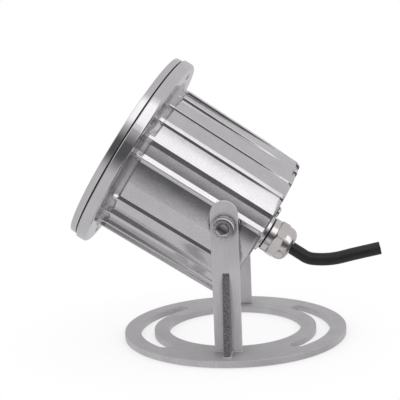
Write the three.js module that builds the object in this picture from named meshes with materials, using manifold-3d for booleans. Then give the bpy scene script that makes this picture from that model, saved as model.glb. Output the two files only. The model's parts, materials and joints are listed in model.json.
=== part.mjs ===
// Underwater pond light: a cast, ribbed lamp head that tilts between the two
// arms of a flat ring bracket. Units are millimetres, +Z is up, the ring's
// underside lies on z = 0 and the lamp shines towards -X, tilted upwards.
import * as THREE from 'three';
import { mergeVertices } from 'three/addons/utils/BufferGeometryUtils.js';
import Module from 'manifold-3d';

const wasm = await Module();
wasm.setup();

// ---------------------------------------------------------------- dimensions
const CENTRE_X = 3.46;         // ring centre and pivot
const PIVOT_Z = 78.2;          // height of the tilt axis
const TILT_DEG = 33.65;        // lamp axis above the horizontal
const SIDES = [['right', -1], ['left', 1]]; // name and sign of y

// bracket
const RING_R = 70.0;
const RING_HOLE_R = 42.0;
const RING_T = 4.0;
const SLOT_R = 55.7;           // centreline of the arc slots
const SLOT_HALF_W = 4.4;
const SLOT_HALF_ANGLE = 45.2;  // to the centre of the slot's round end
const ARM_OUT_Y = 53.1;
const ARM_T = 3.0;
const ARM_HALF_W = 8.0;
const ARM_TOP_Z = 92.8;
const ARM_HOLE_R = 4.5;
const GUSSET_T = 4.0;
const GUSSET_TOP_Z = 50.8;
const GUSSET_OUT_Y = 64.5;

// Lamp head. Stations are measured along the lamp axis from the tilt axis,
// front is +.
const BEZEL_R = 62.9;
const BEZEL_IN_R = 46.5;
const BEZEL_FRONT = 77.9;
const BEZEL_REAR = 73.9;
const GASKET_FRONT = 73.85;
const GASKET_REAR = 73.05;
const GASKET_R = 62.5;
const FLANGE_FRONT = 73.0;
const FLANGE_REAR = 65.9;
const FLANGE_R = 64.1;
const FLANGE_REAR_ROUND = 2.2;
const FLANGE_FRONT_ROUND = 0.7;
const NECK_R = 47.2;
const NECK_FILLET = 5.0;
const BODY_REAR = -21.8;
const BODY_REAR_R = 48.4;      // turned envelope at the rear edge
const BODY_REAR_ROUND = 2.2;
const WALL_REAR_IN = -17.8;
const CREST_R_FRONT = 50.2;    // radius over the ribs at the flange
const CREST_R_REAR = 48.25;    // and at the rear edge
const SECTION_DROP = 0.5;      // the ribbed section sits this much below the lamp axis
const CAVITY_R_FRONT = 43.5;
const CAVITY_R_REAR = 41.0;
const LEDGE = 38.0;            // step in the cavity that carries the heat spreader
const RECESS_R = 51.5;
const RECESS_FLOOR = 67.0;
const BOSS_OUT_Y = 49.1;       // outer faces of the pivot bosses
const BOSS_R = 9.0;
const GLAND_BOSS_R = 13.0;
const GLAND_BOSS_OUT = -26.0;
const TAPPED_R = 1.45;         // holes in the lugs and pillars

// Half of the ribbed section at the flange, from the top round to the bottom:
// slim ribs whose flanks face sideways, and flat panels between them.
// Columns of the upper part: [up, sideways]
const UPPER = [
  [50.2, 1.1], [47.9, 1.25], [47.4, 16.55], [45.2, 16.7], [41.0, 29.1], [40.3, 29.75],
  [39.1, 29.8], [32.6, 38.0], [31.0, 39.4], [29.3, 39.5], [21.6, 45.3], [20.0, 46.1],
  [17.2, 46.25], [10.95, 48.1], [7.95, 49.7], [5.9, 48.05],
];
// Columns of the lower part: [down, sideways]
const LOWER = [
  [8.1, 48.05], [18.2, 45.3], [20.6, 45.75], [28.3, 38.3], [32.1, 38.6], [37.8, 28.5],
  [41.3, 28.75], [44.2, 15.65], [47.9, 15.85], [47.2, 1.4], [50.8, 1.2],
];

// pivot hardware, M8; stations run outwards along the tilt axis
const M8_R = 3.9;
const M8_HEAD_R = 6.5;
const M8_HEAD_H = 8.0;
const M8_HEAD_SEAT = ARM_OUT_Y + 2.2;
const M8_KEY = 6.0;            // across flats
const M8_KEY_DEPTH = 4;
const SPRING_WASHER_R = 7.2;
const SPRING_WASHER_IN = ARM_OUT_Y + 0.1;
const SPRING_WASHER_T = 2;

// gland and cable
const GLAND_THREAD_R = 7.9;
const GLAND_FLANGE_R = 11.0;
const GLAND_AF = 22.0;
const GLAND_CORNER = 12.8;     // clocking of the dome nut, degrees from local +X
const GLAND_NUT_R = 12.45;     // turned radius that trims the dome nut's corners
const GLAND_EXIT = -44.0;
const CABLE_R = 3.95;
const FLEX_AT = -52.8;         // where the cable starts to bend
const TAIL_LEAD = 2.2;         // straight start of the tail
// cable centreline beyond the bend, [x from the ring centre, z]
const TAIL = [[48.7, 46.6], [56.8, 45.95], [64.3, 46.55], [76.0, 49.2], [91.6, 52.6]];

// wire centrelines on the +X side, [x, y, z] in the lamp frame
const SUPPLY_WIRE = [
  [1.7, 0, -13.9], [1.7, 0.4, -8], [2, 2, -2.2], [2.4, 7, 3.2], [2.8, 12, 4], [2.8, 16.6, 4],
];
const LED_LEAD = [
  [2.8, 21, 8.3], [2.8, 20, 14], [2.2, 8, 26], [1.7, 1, 34], [1.7, 0, 41],
  [2.3, 0, 45.2], [4.6, 0, 46.4], [9, 0, 46.0],
];

const OVERRUN = 1;             // how far cutting tools and joined parts run past a face
const BIG = 44;                // segments of the large turned rings

// Places in the lamp's [x, y] plane
const BEZEL_SCREWS = onCircle(56, [0, 60, 120, 180, 240, 300]);
const SPREADER_SCREWS = onCircle(37.8, [60, 180, 300]);
const DRIVER_SCREWS = onCircle(27, [45, 180, 315]);
const LED_ANGLES = [30, 90, 150, 210, 270, 330];
const LEDS = onCircle(21, LED_ANGLES);
const VENT = [18.6, -26];

// ----------------------------------------------------------------- materials
const STEEL_CAST = { color: 0xb9b7ba, roughness: 0.38, metalness: 1 };
const STEEL_TURNED = { color: 0xc4c2c6, roughness: 0.22, metalness: 1 };
const STEEL_BRUSHED = { color: 0xa9a7ac, roughness: 0.42, metalness: 1 };
const STEEL_BOLT = { color: 0xb4b2b4, roughness: 0.28, metalness: 1 };
const NICKEL = { color: 0xa8a39e, roughness: 0.25, metalness: 1 };
const RUBBER = { color: 0x1b1b1d, roughness: 0.75, metalness: 0 };
const BLACK_PLASTIC = { color: 0x222224, roughness: 0.5, metalness: 0 };
const SILICONE = { color: 0xd8d8d4, roughness: 0.6, metalness: 0 };
const GLASS = { color: 0xdfe9e8, roughness: 0.05, metalness: 0 };
const ACRYLIC = { color: 0xeef2f4, roughness: 0.08, metalness: 0 };
const ALU = { color: 0xc9cbcd, roughness: 0.35, metalness: 1 };
const PCB_WHITE = { color: 0xe9eae6, roughness: 0.5, metalness: 0 };
const PCB_GREEN = { color: 0x1d6a3c, roughness: 0.45, metalness: 0 };
const PHOSPHOR = { color: 0xf2d25a, roughness: 0.5, metalness: 0 };
const GREY_PAD = { color: 0x8f9498, roughness: 0.8, metalness: 0 };
const COPPER = { color: 0xb4743c, roughness: 0.35, metalness: 1 };
const RED = { color: 0xb02020, roughness: 0.5, metalness: 0 };
const BLACK = { color: 0x202020, roughness: 0.5, metalness: 0 };
const GREEN_PLASTIC = { color: 0x2f7d4a, roughness: 0.5, metalness: 0 };

// ------------------------------------------------------------ points, outlines
function rad(degrees) {
  return (degrees * Math.PI) / 180;
}

function onCircle(radius, angles) {
  return angles.map((a) => [radius * Math.cos(rad(a)), radius * Math.sin(rad(a))]);
}

function arc([x, y], radius, startDeg, endDeg, steps) {
  const angles = Array.from({ length: steps + 1 }, (_, i) => (
    startDeg + ((endDeg - startDeg) * i) / steps));
  return onCircle(radius, angles).map(([dx, dy]) => [x + dx, y + dy]);
}

function polygon(radius, sides, cornerDeg = 0) {
  return onCircle(radius, Array.from({ length: sides }, (_, i) => cornerDeg + (360 * i) / sides));
}

function outline(points, path = new THREE.Shape()) {
  path.setFromPoints(points.map(([x, y]) => new THREE.Vector2(x, y)));
  path.closePath();
  return path;
}

function roundHole(x, y, radius) {
  return new THREE.Path().absarc(x, y, radius, 0, 2 * Math.PI, true);
}

// ---------------------------------------------------------------- geometries
function extrude(shape, depth, options = {}) {
  return new THREE.ExtrudeGeometry(shape, { depth, bevelEnabled: false, ...options });
}

// solid of revolution about +Z from a closed [r, z] profile, counter-clockwise
// (or one that starts and ends on the axis, bottom to top)
function revolve(profile, segments) {
  const points = profile.map(([r, z]) => new THREE.Vector2(r, z));
  const endsOnAxis = profile[0][0] === 0 && profile[profile.length - 1][0] === 0;
  if (!endsOnAxis) points.push(points[0].clone());
  return new THREE.LatheGeometry(points, segments).rotateX(Math.PI / 2);
}

function disc({ radius, from, to, segments }) {
  return revolve([[0, from], [radius, from], [radius, to], [0, to]], segments);
}

function ring({ inner, outer, from, to, segments }) {
  return revolve([[inner, from], [outer, from], [outer, to], [inner, to]], segments);
}

function hexPrism({ acrossFlats, from, to, cornerDeg = 0 }) {
  const hexagon = outline(polygon(acrossFlats / Math.sqrt(3), 6, cornerDeg));
  return extrude(hexagon, to - from).translate(0, 0, from);
}

function tubeAlong(points, { radius, steps, sides }) {
  const centreline = points.map((p) => new THREE.Vector3(...p));
  const extrudePath = new THREE.CatmullRomCurve3(centreline, false, 'centripetal');
  const section = outline(polygon(radius, sides));
  return new THREE.ExtrudeGeometry(section, { steps, extrudePath, bevelEnabled: false });
}

function at(geometry, [x, y]) {
  return geometry.translate(x, y, 0);
}

// turns a part built along +Z to point outwards along the tilt axis
function toSide(geometry, side) {
  return geometry.rotateX((-side * Math.PI) / 2);
}

// -------------------------------------------------------------------- solids
// accepts a geometry or a ready solid
function toSolid(source) {
  if (source.getMesh) return source;
  let geometry = source.clone();
  geometry.deleteAttribute('normal');
  geometry.deleteAttribute('uv');
  geometry = mergeVertices(geometry, 1e-4);
  const index = geometry.index.array;
  const triangles = [];
  for (let i = 0; i < index.length; i += 3) {
    const [a, b, c] = index.slice(i, i + 3);
    // merging collapses the slivers on the axis
    if (a !== b && b !== c && c !== a) triangles.push(a, b, c);
  }
  return new wasm.Manifold(new wasm.Mesh({
    numProp: 3,
    vertProperties: new Float32Array(geometry.attributes.position.array),
    triVerts: new Uint32Array(triangles),
  }));
}

function toGeometry(solid) {
  const { vertProperties, triVerts } = solid.getMesh();
  const geometry = new THREE.BufferGeometry();
  const positions = new Float32Array(vertProperties);
  geometry.setAttribute('position', new THREE.BufferAttribute(positions, 3));
  geometry.setIndex(new THREE.BufferAttribute(new Uint32Array(triVerts), 1));
  geometry.computeVertexNormals();
  return geometry;
}

function join(body, ...additions) {
  return additions.reduce((sum, addition) => sum.add(toSolid(addition)), toSolid(body));
}

function cut(body, ...tools) {
  return tools.reduce((rest, tool) => rest.subtract(toSolid(tool)), toSolid(body));
}

function drill(body, places, hole) {
  return cut(body, ...places.map((place) => at(disc(hole), place)));
}

function piece(parent, name, source, look) {
  const geometry = toGeometry(toSolid(source));
  const mesh = new THREE.Mesh(geometry, new THREE.MeshStandardMaterial(look));
  mesh.name = name;
  parent.add(mesh);
}

// ------------------------------------------------------------------- bracket
// arc slot with round ends, centred on the given direction
function slot(midDeg) {
  const start = midDeg - SLOT_HALF_ANGLE;
  const end = midDeg + SLOT_HALF_ANGLE;
  const [startCentre, endCentre] = onCircle(SLOT_R, [start, end]);
  return outline([
    ...arc([0, 0], SLOT_R + SLOT_HALF_W, start, end, 14),
    ...arc(endCentre, SLOT_HALF_W, end, end + 180, 5).slice(1),
    ...arc([0, 0], SLOT_R - SLOT_HALF_W, end, start, 14).slice(1),
    ...arc(startCentre, SLOT_HALF_W, start + 180, start + 360, 5).slice(1, -1),
  ], new THREE.Path());
}

function baseRing() {
  const shape = new THREE.Shape();
  shape.absarc(0, 0, RING_R, 0, 2 * Math.PI, false);
  shape.holes.push(roundHole(0, 0, RING_HOLE_R), slot(0), slot(180));
  return extrude(shape, RING_T, { curveSegments: 32 });
}

function arm(side) {
  const roundZ = ARM_TOP_Z - ARM_HALF_W;
  const shape = new THREE.Shape();
  shape.moveTo(-ARM_HALF_W, RING_T);
  shape.lineTo(ARM_HALF_W, RING_T);
  shape.lineTo(ARM_HALF_W, roundZ);
  shape.absarc(0, roundZ, ARM_HALF_W, 0, Math.PI, false);
  shape.closePath();
  shape.holes.push(roundHole(0, PIVOT_Z, ARM_HOLE_R));
  // once upright, the thickness runs from y = 0 to y = -ARM_T
  const plate = extrude(shape, ARM_T, { curveSegments: 10 }).rotateX(Math.PI / 2);
  return plate.translate(0, side > 0 ? ARM_OUT_Y : ARM_T - ARM_OUT_Y, 0);
}

// triangular web outside an arm
function gusset(side) {
  const triangle = outline([[0, RING_T], [GUSSET_OUT_Y - ARM_OUT_Y, RING_T], [0, GUSSET_TOP_Z]]);
  return extrude(triangle, GUSSET_T)
    .translate(0, 0, -GUSSET_T / 2)
    .rotateX(Math.PI / 2)
    .rotateZ((side * Math.PI) / 2)
    .translate(0, side * ARM_OUT_Y, 0);
}

const part = new THREE.Group();
part.position.x = CENTRE_X;

piece(part, 'base_ring', baseRing(), STEEL_BRUSHED);
for (const [tag, side] of SIDES) {
  piece(part, `arm_${tag}`, arm(side), STEEL_BRUSHED);
  piece(part, `gusset_${tag}`, gusset(side), STEEL_BRUSHED);
}

// ----------------------------------------------------------------- lamp head
// Inside this group +Z is the lamp axis (front), +X is the upper side, Y is the
// tilt axis.
const lamp = new THREE.Group();
lamp.position.z = PIVOT_Z;
lamp.rotation.y = -rad(90 - TILT_DEG);
part.add(lamp);

// ribbed section, tapering to the rear
function ribbedBody() {
  const half = [...UPPER, ...LOWER.map(([down, y]) => [-down, y])]
    .map(([x, y]) => [x - SECTION_DROP, y]);
  const section = outline([...half, ...half.map(([x, y]) => [x, -y]).reverse()]);
  const geometry = extrude(section, FLANGE_REAR + OVERRUN - BODY_REAR, { steps: 1 });
  const taper = (CREST_R_FRONT - CREST_R_REAR) / (FLANGE_REAR - BODY_REAR);
  const position = geometry.attributes.position;
  for (let i = 0; i < position.count; i++) {
    const z = position.getZ(i) + BODY_REAR;
    const scale = (CREST_R_REAR + taper * (z - BODY_REAR)) / CREST_R_FRONT;
    position.setXYZ(i, position.getX(i) * scale, position.getY(i) * scale, z);
  }
  return geometry;
}

// turned shape that rounds the rear edge of the ribbed body
function bodyEnvelope() {
  const roundCentre = [BODY_REAR_R - BODY_REAR_ROUND, BODY_REAR + BODY_REAR_ROUND];
  return revolve([
    [0, BODY_REAR],
    ...arc(roundCentre, BODY_REAR_ROUND, -90, 0, 2),
    [53, FLANGE_REAR + OVERRUN], [0, FLANGE_REAR + OVERRUN],
  ], BIG);
}

function neckAndFlange() {
  const bore = 44.5;
  const filletStart = FLANGE_REAR - NECK_FILLET;
  const [rear, front] = [FLANGE_REAR_ROUND, FLANGE_FRONT_ROUND];
  return revolve([
    [bore, filletStart - OVERRUN], [NECK_R - 0.6, filletStart - OVERRUN],
    ...arc([NECK_R + NECK_FILLET, filletStart], NECK_FILLET, 180, 90, 2),
    ...arc([FLANGE_R - rear, FLANGE_REAR + rear], rear, -90, 0, 2),
    ...arc([FLANGE_R - front, FLANGE_FRONT - front], front, 0, 90, 1),
    [bore, FLANGE_FRONT],
  ], BIG);
}

// raised seat for the gland
function glandSeat() {
  const chamfer = 0.5;
  return revolve([
    [0, GLAND_BOSS_OUT], [GLAND_BOSS_R - chamfer, GLAND_BOSS_OUT],
    [GLAND_BOSS_R, GLAND_BOSS_OUT + chamfer], [GLAND_BOSS_R, BODY_REAR + OVERRUN],
    [0, BODY_REAR + OVERRUN],
  ], 48);
}

function cavity() {
  return revolve([
    [0, WALL_REAR_IN], [CAVITY_R_REAR, WALL_REAR_IN], [CAVITY_R_REAR, LEDGE],
    [CAVITY_R_FRONT, LEDGE], [CAVITY_R_FRONT, RECESS_FLOOR], [RECESS_R, RECESS_FLOOR],
    [RECESS_R, FLANGE_FRONT + OVERRUN], [0, FLANGE_FRONT + OVERRUN],
  ], 32);
}

function addTappedPosts(body, places, post, hole) {
  return places.reduce((sum, place) => (
    drill(join(sum, at(disc(post), place)), [place], hole)), body);
}

function housing() {
  let body = toSolid(ribbedBody()).intersect(toSolid(bodyEnvelope()));
  body = join(body, neckAndFlange());
  for (const [, side] of SIDES) {
    const outerBoss = disc({ radius: BOSS_R, from: 40, to: BOSS_OUT_Y, segments: 24 });
    body = join(body, toSide(outerBoss, side));
  }
  body = join(body, glandSeat());
  body = cut(body, cavity());
  // inward part of the pivot bosses, and their bores
  for (const [, side] of SIDES) {
    const innerBoss = disc({ radius: 8, from: 35, to: 42, segments: 20 });
    const bore = disc({
      radius: M8_R + 0.25, from: 36.5, to: BOSS_OUT_Y + OVERRUN, segments: 16,
    });
    body = cut(join(body, toSide(innerBoss, side)), toSide(bore, side));
  }
  // lugs for the heat spreader
  body = addTappedPosts(body, SPREADER_SCREWS,
    { radius: 4, from: 24, to: LEDGE, segments: 16 },
    { radius: TAPPED_R, from: 28, to: LEDGE + OVERRUN, segments: 8 });
  // pillars for the driver board
  body = addTappedPosts(body, DRIVER_SCREWS,
    { radius: 3.5, from: WALL_REAR_IN - 0.5, to: -3, segments: 12 },
    { radius: TAPPED_R, from: -12, to: -2, segments: 8 });
  body = drill(body, BEZEL_SCREWS, {
    radius: 2.55, from: FLANGE_REAR - OVERRUN, to: FLANGE_FRONT + OVERRUN, segments: 12,
  });
  // gland bore and vent bore
  body = drill(body, [[0, 0]], {
    radius: GLAND_THREAD_R + 0.3,
    from: GLAND_BOSS_OUT - OVERRUN,
    to: WALL_REAR_IN + OVERRUN,
    segments: 24,
  });
  return drill(body, [VENT], {
    radius: 2.2, from: BODY_REAR - OVERRUN, to: WALL_REAR_IN + OVERRUN, segments: 12,
  });
}

function flangeGasket() {
  const flat = ring({
    inner: BEZEL_IN_R + 0.3, outer: GASKET_R, from: GASKET_REAR, to: GASKET_FRONT, segments: BIG,
  });
  return drill(flat, BEZEL_SCREWS, {
    radius: 2.6, from: GASKET_REAR - OVERRUN, to: GASKET_FRONT + OVERRUN, segments: 10,
  });
}

function bezelRing() {
  const rearChamfer = 0.2;
  const frontEdge = 0.6;
  const innerChamfer = 1.2;
  const blank = revolve([
    [BEZEL_IN_R, BEZEL_REAR],
    [BEZEL_R - rearChamfer, BEZEL_REAR], [BEZEL_R, BEZEL_REAR + rearChamfer],
    ...arc([BEZEL_R - frontEdge, BEZEL_FRONT - frontEdge], frontEdge, 0, 90, 1),
    [BEZEL_IN_R + innerChamfer, BEZEL_FRONT], [BEZEL_IN_R, BEZEL_FRONT - innerChamfer],
  ], BIG);
  const countersinks = BEZEL_SCREWS.map((place) => at(revolve([
    [0, BEZEL_REAR - OVERRUN], [2.7, BEZEL_REAR - OVERRUN], [2.7, 75.5],
    [5.05, BEZEL_FRONT - 0.1], [5.05, BEZEL_FRONT + OVERRUN], [0, BEZEL_FRONT + OVERRUN],
  ], 14), place));
  return cut(blank, ...countersinks);
}

// countersunk screw with a hexagon socket
function bezelScrew(place) {
  const headTop = BEZEL_FRONT - 0.1;
  const screw = revolve([
    [0, 67.6], [2.0, 67.6], [2.3, 67.9], [2.3, 75.2], [4.75, BEZEL_FRONT - 0.25],
    [4.75, headTop], [0, headTop],
  ], 14);
  const socket = hexPrism({
    acrossFlats: 3, from: BEZEL_FRONT - 2.2, to: BEZEL_FRONT + OVERRUN,
  });
  return cut(at(screw, place), at(socket, place));
}

function lensGlass() {
  return revolve([
    [0, 68.0], [50.5, 68.0], [51.0, 68.5], [51.0, 72.5], [50.5, 73.0], [0, 73.0],
  ], 36);
}

piece(lamp, 'housing', housing(), STEEL_CAST);
piece(lamp, 'flange_gasket', flangeGasket(), RUBBER);
piece(lamp, 'bezel_ring', bezelRing(), STEEL_TURNED);
BEZEL_SCREWS.forEach((place, i) => {
  piece(lamp, `bezel_screw_${i + 1}`, bezelScrew(place), STEEL_BOLT);
});
piece(lamp, 'glass_seal',
  ring({ inner: 44.2, outer: 51.0, from: 67.05, to: 67.95, segments: 36 }), SILICONE);
piece(lamp, 'lens_glass', lensGlass(), GLASS);

// ------------------------------------------------------------ pivot hardware
// the split is on the +X side
function springWasher(side) {
  const washer = ring({
    inner: 4.2,
    outer: SPRING_WASHER_R,
    from: SPRING_WASHER_IN,
    to: SPRING_WASHER_IN + SPRING_WASHER_T,
    segments: 20,
  });
  const split = new THREE.BoxGeometry(4.4, 4, 0.9);
  split.translate(5.9, side * (SPRING_WASHER_IN + SPRING_WASHER_T / 2), 0);
  return cut(toSide(washer, side), split);
}

function pivotScrew(side) {
  const headTop = M8_HEAD_SEAT + M8_HEAD_H;
  const tip = 37.5;
  const tipChamfer = 0.7;
  const headChamfer = 0.8;
  const screw = revolve([
    [0, tip], [M8_R - tipChamfer, tip], [M8_R, tip + tipChamfer],
    [M8_R, M8_HEAD_SEAT], [M8_HEAD_R, M8_HEAD_SEAT],
    [M8_HEAD_R, headTop - headChamfer], [M8_HEAD_R - headChamfer, headTop], [0, headTop],
  ], 20);
  const socket = hexPrism({
    acrossFlats: M8_KEY, from: headTop - M8_KEY_DEPTH, to: headTop + OVERRUN, cornerDeg: 12,
  });
  return cut(toSide(screw, side), toSide(socket, side));
}

for (const [tag, side] of SIDES) {
  const frictionWasher = ring({ inner: 4.6, outer: 8.8, from: 49.2, to: 49.95, segments: 20 });
  piece(lamp, `friction_washer_${tag}`, toSide(frictionWasher, side), BLACK_PLASTIC);
  piece(lamp, `spring_washer_${tag}`, springWasher(side), STEEL_BOLT);
  piece(lamp, `pivot_screw_${tag}`, pivotScrew(side), STEEL_BOLT);
}

// -------------------------------------------------------------- light engine
function heatSpreader() {
  const plate = ring({ inner: 4, outer: 43.0, from: 38.15, to: 42.15, segments: 32 });
  return drill(plate, SPREADER_SCREWS, { radius: 1.8, from: 37, to: 43, segments: 10 });
}

function led(place, angle) {
  const size = 5;
  const height = 1.9;
  const rear = 44.5;
  const block = new THREE.BoxGeometry(size, size, height).rotateZ(rad(angle));
  return at(block, place).translate(0, 0, rear + height / 2);
}

// skirted plate with one flared lens over each LED
function lensArray() {
  const plate = revolve([
    [0, 57.5], [40.8, 57.5], [40.8, 42.4], [42.8, 42.4], [42.8, 60], [0, 60],
  ], 40);
  const lenses = LEDS.map((place) => at(revolve([
    [0, 46.8], [4.4, 46.8], [7.4, 51.4], [9.6, 58], [0, 58],
  ], 10), place));
  return join(plate, ...lenses);
}

// small screw: tip, underside of the head, top of the rim, top of the head
function smallScrew({ tip, seat, rim, top }) {
  return revolve([
    [0, tip], [1.2, tip], [1.2, seat], [2.6, seat], [2.6, rim], [1.8, top], [0, top],
  ], 10);
}

piece(lamp, 'heat_spreader', heatSpreader(), ALU);
piece(lamp, 'thermal_pad',
  ring({ inner: 4, outer: 31, from: 42.25, to: 42.7, segments: 28 }), GREY_PAD);
piece(lamp, 'led_board',
  ring({ inner: 4, outer: 33, from: 42.8, to: 44.4, segments: 32 }), PCB_WHITE);
LEDS.forEach((place, i) => {
  piece(lamp, `led_${i + 1}`, led(place, LED_ANGLES[i]), PHOSPHOR);
});
piece(lamp, 'lens_array', lensArray(), ACRYLIC);
SPREADER_SCREWS.forEach((place, i) => {
  const screw = smallScrew({ tip: 29, seat: 42.25, rim: 43.6, top: 44.2 });
  piece(lamp, `spreader_screw_${i + 1}`, at(screw, place), STEEL_BOLT);
});

// -------------------------------------------------------------------- driver
function driverBoard() {
  const board = ring({ inner: 6, outer: 33, from: -2.9, to: -1.3, segments: 28 });
  return drill(board, DRIVER_SCREWS, { radius: 1.7, from: -4, to: 0, segments: 10 });
}

function inductor() {
  return revolve([
    [3, -1.0], [7.6, -1.0], [8.4, -0.2], [8.4, 5.2], [7.6, 6.0], [3, 6.0], [2.4, 5.2], [2.4, -0.2],
  ], 14);
}

// can with a groove round its base
function capacitor() {
  return revolve([
    [0, -1.1], [4.6, -1.1], [5, -0.7], [5, 0.8], [4.7, 1.2], [5, 1.6], [5, 12.4],
    [4.6, 12.8], [0, 12.8],
  ], 14);
}

function terminalBlock() {
  const height = 9;
  return new THREE.BoxGeometry(12, 8, height).translate(0, 21, -1.1 + height / 2);
}

piece(lamp, 'driver_board', driverBoard(), PCB_GREEN);
DRIVER_SCREWS.forEach((place, i) => {
  const screw = smallScrew({ tip: -11, seat: -1.2, rim: 0.2, top: 0.8 });
  piece(lamp, `driver_screw_${i + 1}`, at(screw, place), STEEL_BOLT);
});
piece(lamp, 'inductor', at(inductor(), [-16, 12]), COPPER);
piece(lamp, 'capacitor', at(capacitor(), [12, -15]), BLACK);
piece(lamp, 'terminal_block', terminalBlock(), GREEN_PLASTIC);

// --------------------------------------------- gland, from the inside out
function glandLocknut() {
  return drill(hexPrism({ acrossFlats: 20, from: -17.7, to: -14.6 }), [[0, 0]], {
    radius: GLAND_THREAD_R + 0.15, from: -19, to: -13, segments: 20,
  });
}

function glandBody() {
  return revolve([
    [6.7, -37.5], [9.0, -37.5], [9.0, -31.2], [GLAND_FLANGE_R - 0.4, -31.2],
    [GLAND_FLANGE_R, -30.8], [GLAND_FLANGE_R, -27.4], [GLAND_FLANGE_R - 0.4, -27.0],
    [GLAND_THREAD_R, -27.0], [GLAND_THREAD_R, -13.4], [GLAND_THREAD_R - 0.5, -12.9],
    [4.4, -12.9], [4.4, -31.0], [6.7, -31.0],
  ], 24);
}

function glandORing() {
  return revolve([
    [8.4, -26.9], [10.4, -26.9], [10.8, -26.7], [10.8, -26.25], [10.4, -26.05], [8.4, -26.05],
  ], 24);
}

function glandClampCage() {
  return revolve([
    [4.2, -41.2], [5.6, -41.2], [7.2, -38.6], [7.2, -38.3], [4.2, -38.3],
  ], 20);
}

function glandDomeNut() {
  const turned = revolve([
    [0, GLAND_EXIT], [6.2, GLAND_EXIT],
    ...arc([5.6, -38.6], 5.4, -76, 0, 3).slice(0, -1),
    [11.0, -37.0], [GLAND_NUT_R - 0.2, -36.4], [GLAND_NUT_R, -36.0],
    [GLAND_NUT_R, -32.4], [11.4, -31.35], [0, -31.35],
  ], 24);
  const hexagon = hexPrism({
    acrossFlats: GLAND_AF, from: -45, to: -31, cornerDeg: -GLAND_CORNER,
  });
  const bore = revolve([
    [0, -46], [4.5, -46], [4.5, -41.5], [5.8, -41.5], [7.5, -38.7], [7.5, -38.2],
    [9.25, -38.2], [9.25, -30], [0, -30],
  ], 20);
  return cut(toSolid(turned).intersect(toSolid(hexagon)), bore);
}

piece(lamp, 'gland_locknut', glandLocknut(), NICKEL);
piece(lamp, 'gland_body', glandBody(), NICKEL);
piece(lamp, 'gland_o_ring', glandORing(), RUBBER);
piece(lamp, 'gland_seal_insert',
  ring({ inner: 4.2, outer: 6.4, from: -38.2, to: -31.3, segments: 20 }), RUBBER);
piece(lamp, 'gland_clamp_cage', glandClampCage(), BLACK_PLASTIC);
piece(lamp, 'gland_dome_nut', glandDomeNut(), NICKEL);

// ------------------------------------------------- vent plug on the rear wall
function ventPlug() {
  const plug = revolve([
    [0, -26.1], [1.6, -26.1], [2.7, -25.7], [3.4, -24.7], [3.6, -23.6], [3.6, -23.0],
    [1.95, -23.0], [1.95, -16.6], [0, -16.6],
  ], 14);
  const socket = hexPrism({ acrossFlats: 2.5, from: -27, to: -24.4 });
  return cut(at(plug, VENT), at(socket, VENT));
}

const ventSeal = ring({ inner: 2.3, outer: 3.9, from: -22.9, to: -21.9, segments: 14 });
piece(lamp, 'vent_plug_seal', at(ventSeal, VENT), RUBBER);
piece(lamp, 'vent_plug', ventPlug(), STEEL_BOLT);

// ---------------------------------------------------------- wiring and cable
// the stub stops just short of the ball that starts the tail
piece(lamp, 'cable_stub',
  disc({ radius: CABLE_R, from: FLEX_AT + 4.4, to: -14.2, segments: 16 }), RUBBER);

for (const [tag, sign, look] of [['pos', 1, RED], ['neg', -1, BLACK]]) {
  const onSide = (points) => points.map(([x, y, z]) => [sign * x, y, z]);
  piece(lamp, `supply_wire_${tag}`,
    tubeAlong(onSide(SUPPLY_WIRE), { radius: 1.0, steps: 10, sides: 5 }), look);
  piece(lamp, `led_lead_${tag}`,
    tubeAlong(onSide(LED_LEAD), { radius: 0.9, steps: 12, sides: 5 }), look);
}

// leaves along the lamp axis, then bends; a ball closes its start
function cableTail() {
  const tilt = rad(TILT_DEG);
  const onLampAxis = (station) => [
    -station * Math.cos(tilt), 0, PIVOT_Z + station * Math.sin(tilt),
  ];
  const start = onLampAxis(FLEX_AT);
  const centreline = [start, onLampAxis(FLEX_AT - TAIL_LEAD), ...TAIL.map(([x, z]) => [x, 0, z])];
  const ball = new THREE.SphereGeometry(CABLE_R, 12, 8).translate(...start);
  return join(tubeAlong(centreline, { radius: CABLE_R, steps: 16, sides: 12 }), ball);
}

piece(part, 'cable_tail', cableTail(), RUBBER);

export default part;
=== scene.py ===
"""Looks of an underwater pond light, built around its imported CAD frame.

A ribbed steel lamp hangs on two side screws between two uprights that stand on a flat ring.
The ring lies on the floor, z = 0. The lamp looks up and towards -X, its cable leaves towards +X.
"Right" is the -Y side, which faces the camera, and "left" is the +Y side.
Shapes are written in mm and turned into metres as the meshes are made.
"""
import json
import math

import bmesh
import bpy
import numpy as np
from mathutils import Matrix, Vector
from mathutils.geometry import tessellate_polygon


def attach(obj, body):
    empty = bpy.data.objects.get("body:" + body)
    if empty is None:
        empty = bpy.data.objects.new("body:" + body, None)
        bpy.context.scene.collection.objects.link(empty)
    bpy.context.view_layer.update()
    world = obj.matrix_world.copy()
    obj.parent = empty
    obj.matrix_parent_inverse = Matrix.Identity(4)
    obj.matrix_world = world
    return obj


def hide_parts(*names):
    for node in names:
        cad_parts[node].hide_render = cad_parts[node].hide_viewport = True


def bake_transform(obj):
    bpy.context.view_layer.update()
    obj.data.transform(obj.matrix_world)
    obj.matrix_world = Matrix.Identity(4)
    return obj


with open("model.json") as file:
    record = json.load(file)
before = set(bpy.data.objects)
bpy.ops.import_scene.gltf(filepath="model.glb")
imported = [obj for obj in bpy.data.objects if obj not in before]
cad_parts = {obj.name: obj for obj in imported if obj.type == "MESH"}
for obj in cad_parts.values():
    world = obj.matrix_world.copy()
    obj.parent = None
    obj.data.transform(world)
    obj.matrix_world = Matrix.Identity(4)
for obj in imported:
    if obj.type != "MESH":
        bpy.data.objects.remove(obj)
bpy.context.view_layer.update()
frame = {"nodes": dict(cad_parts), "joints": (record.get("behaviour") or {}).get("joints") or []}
MM = 0.001
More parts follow.
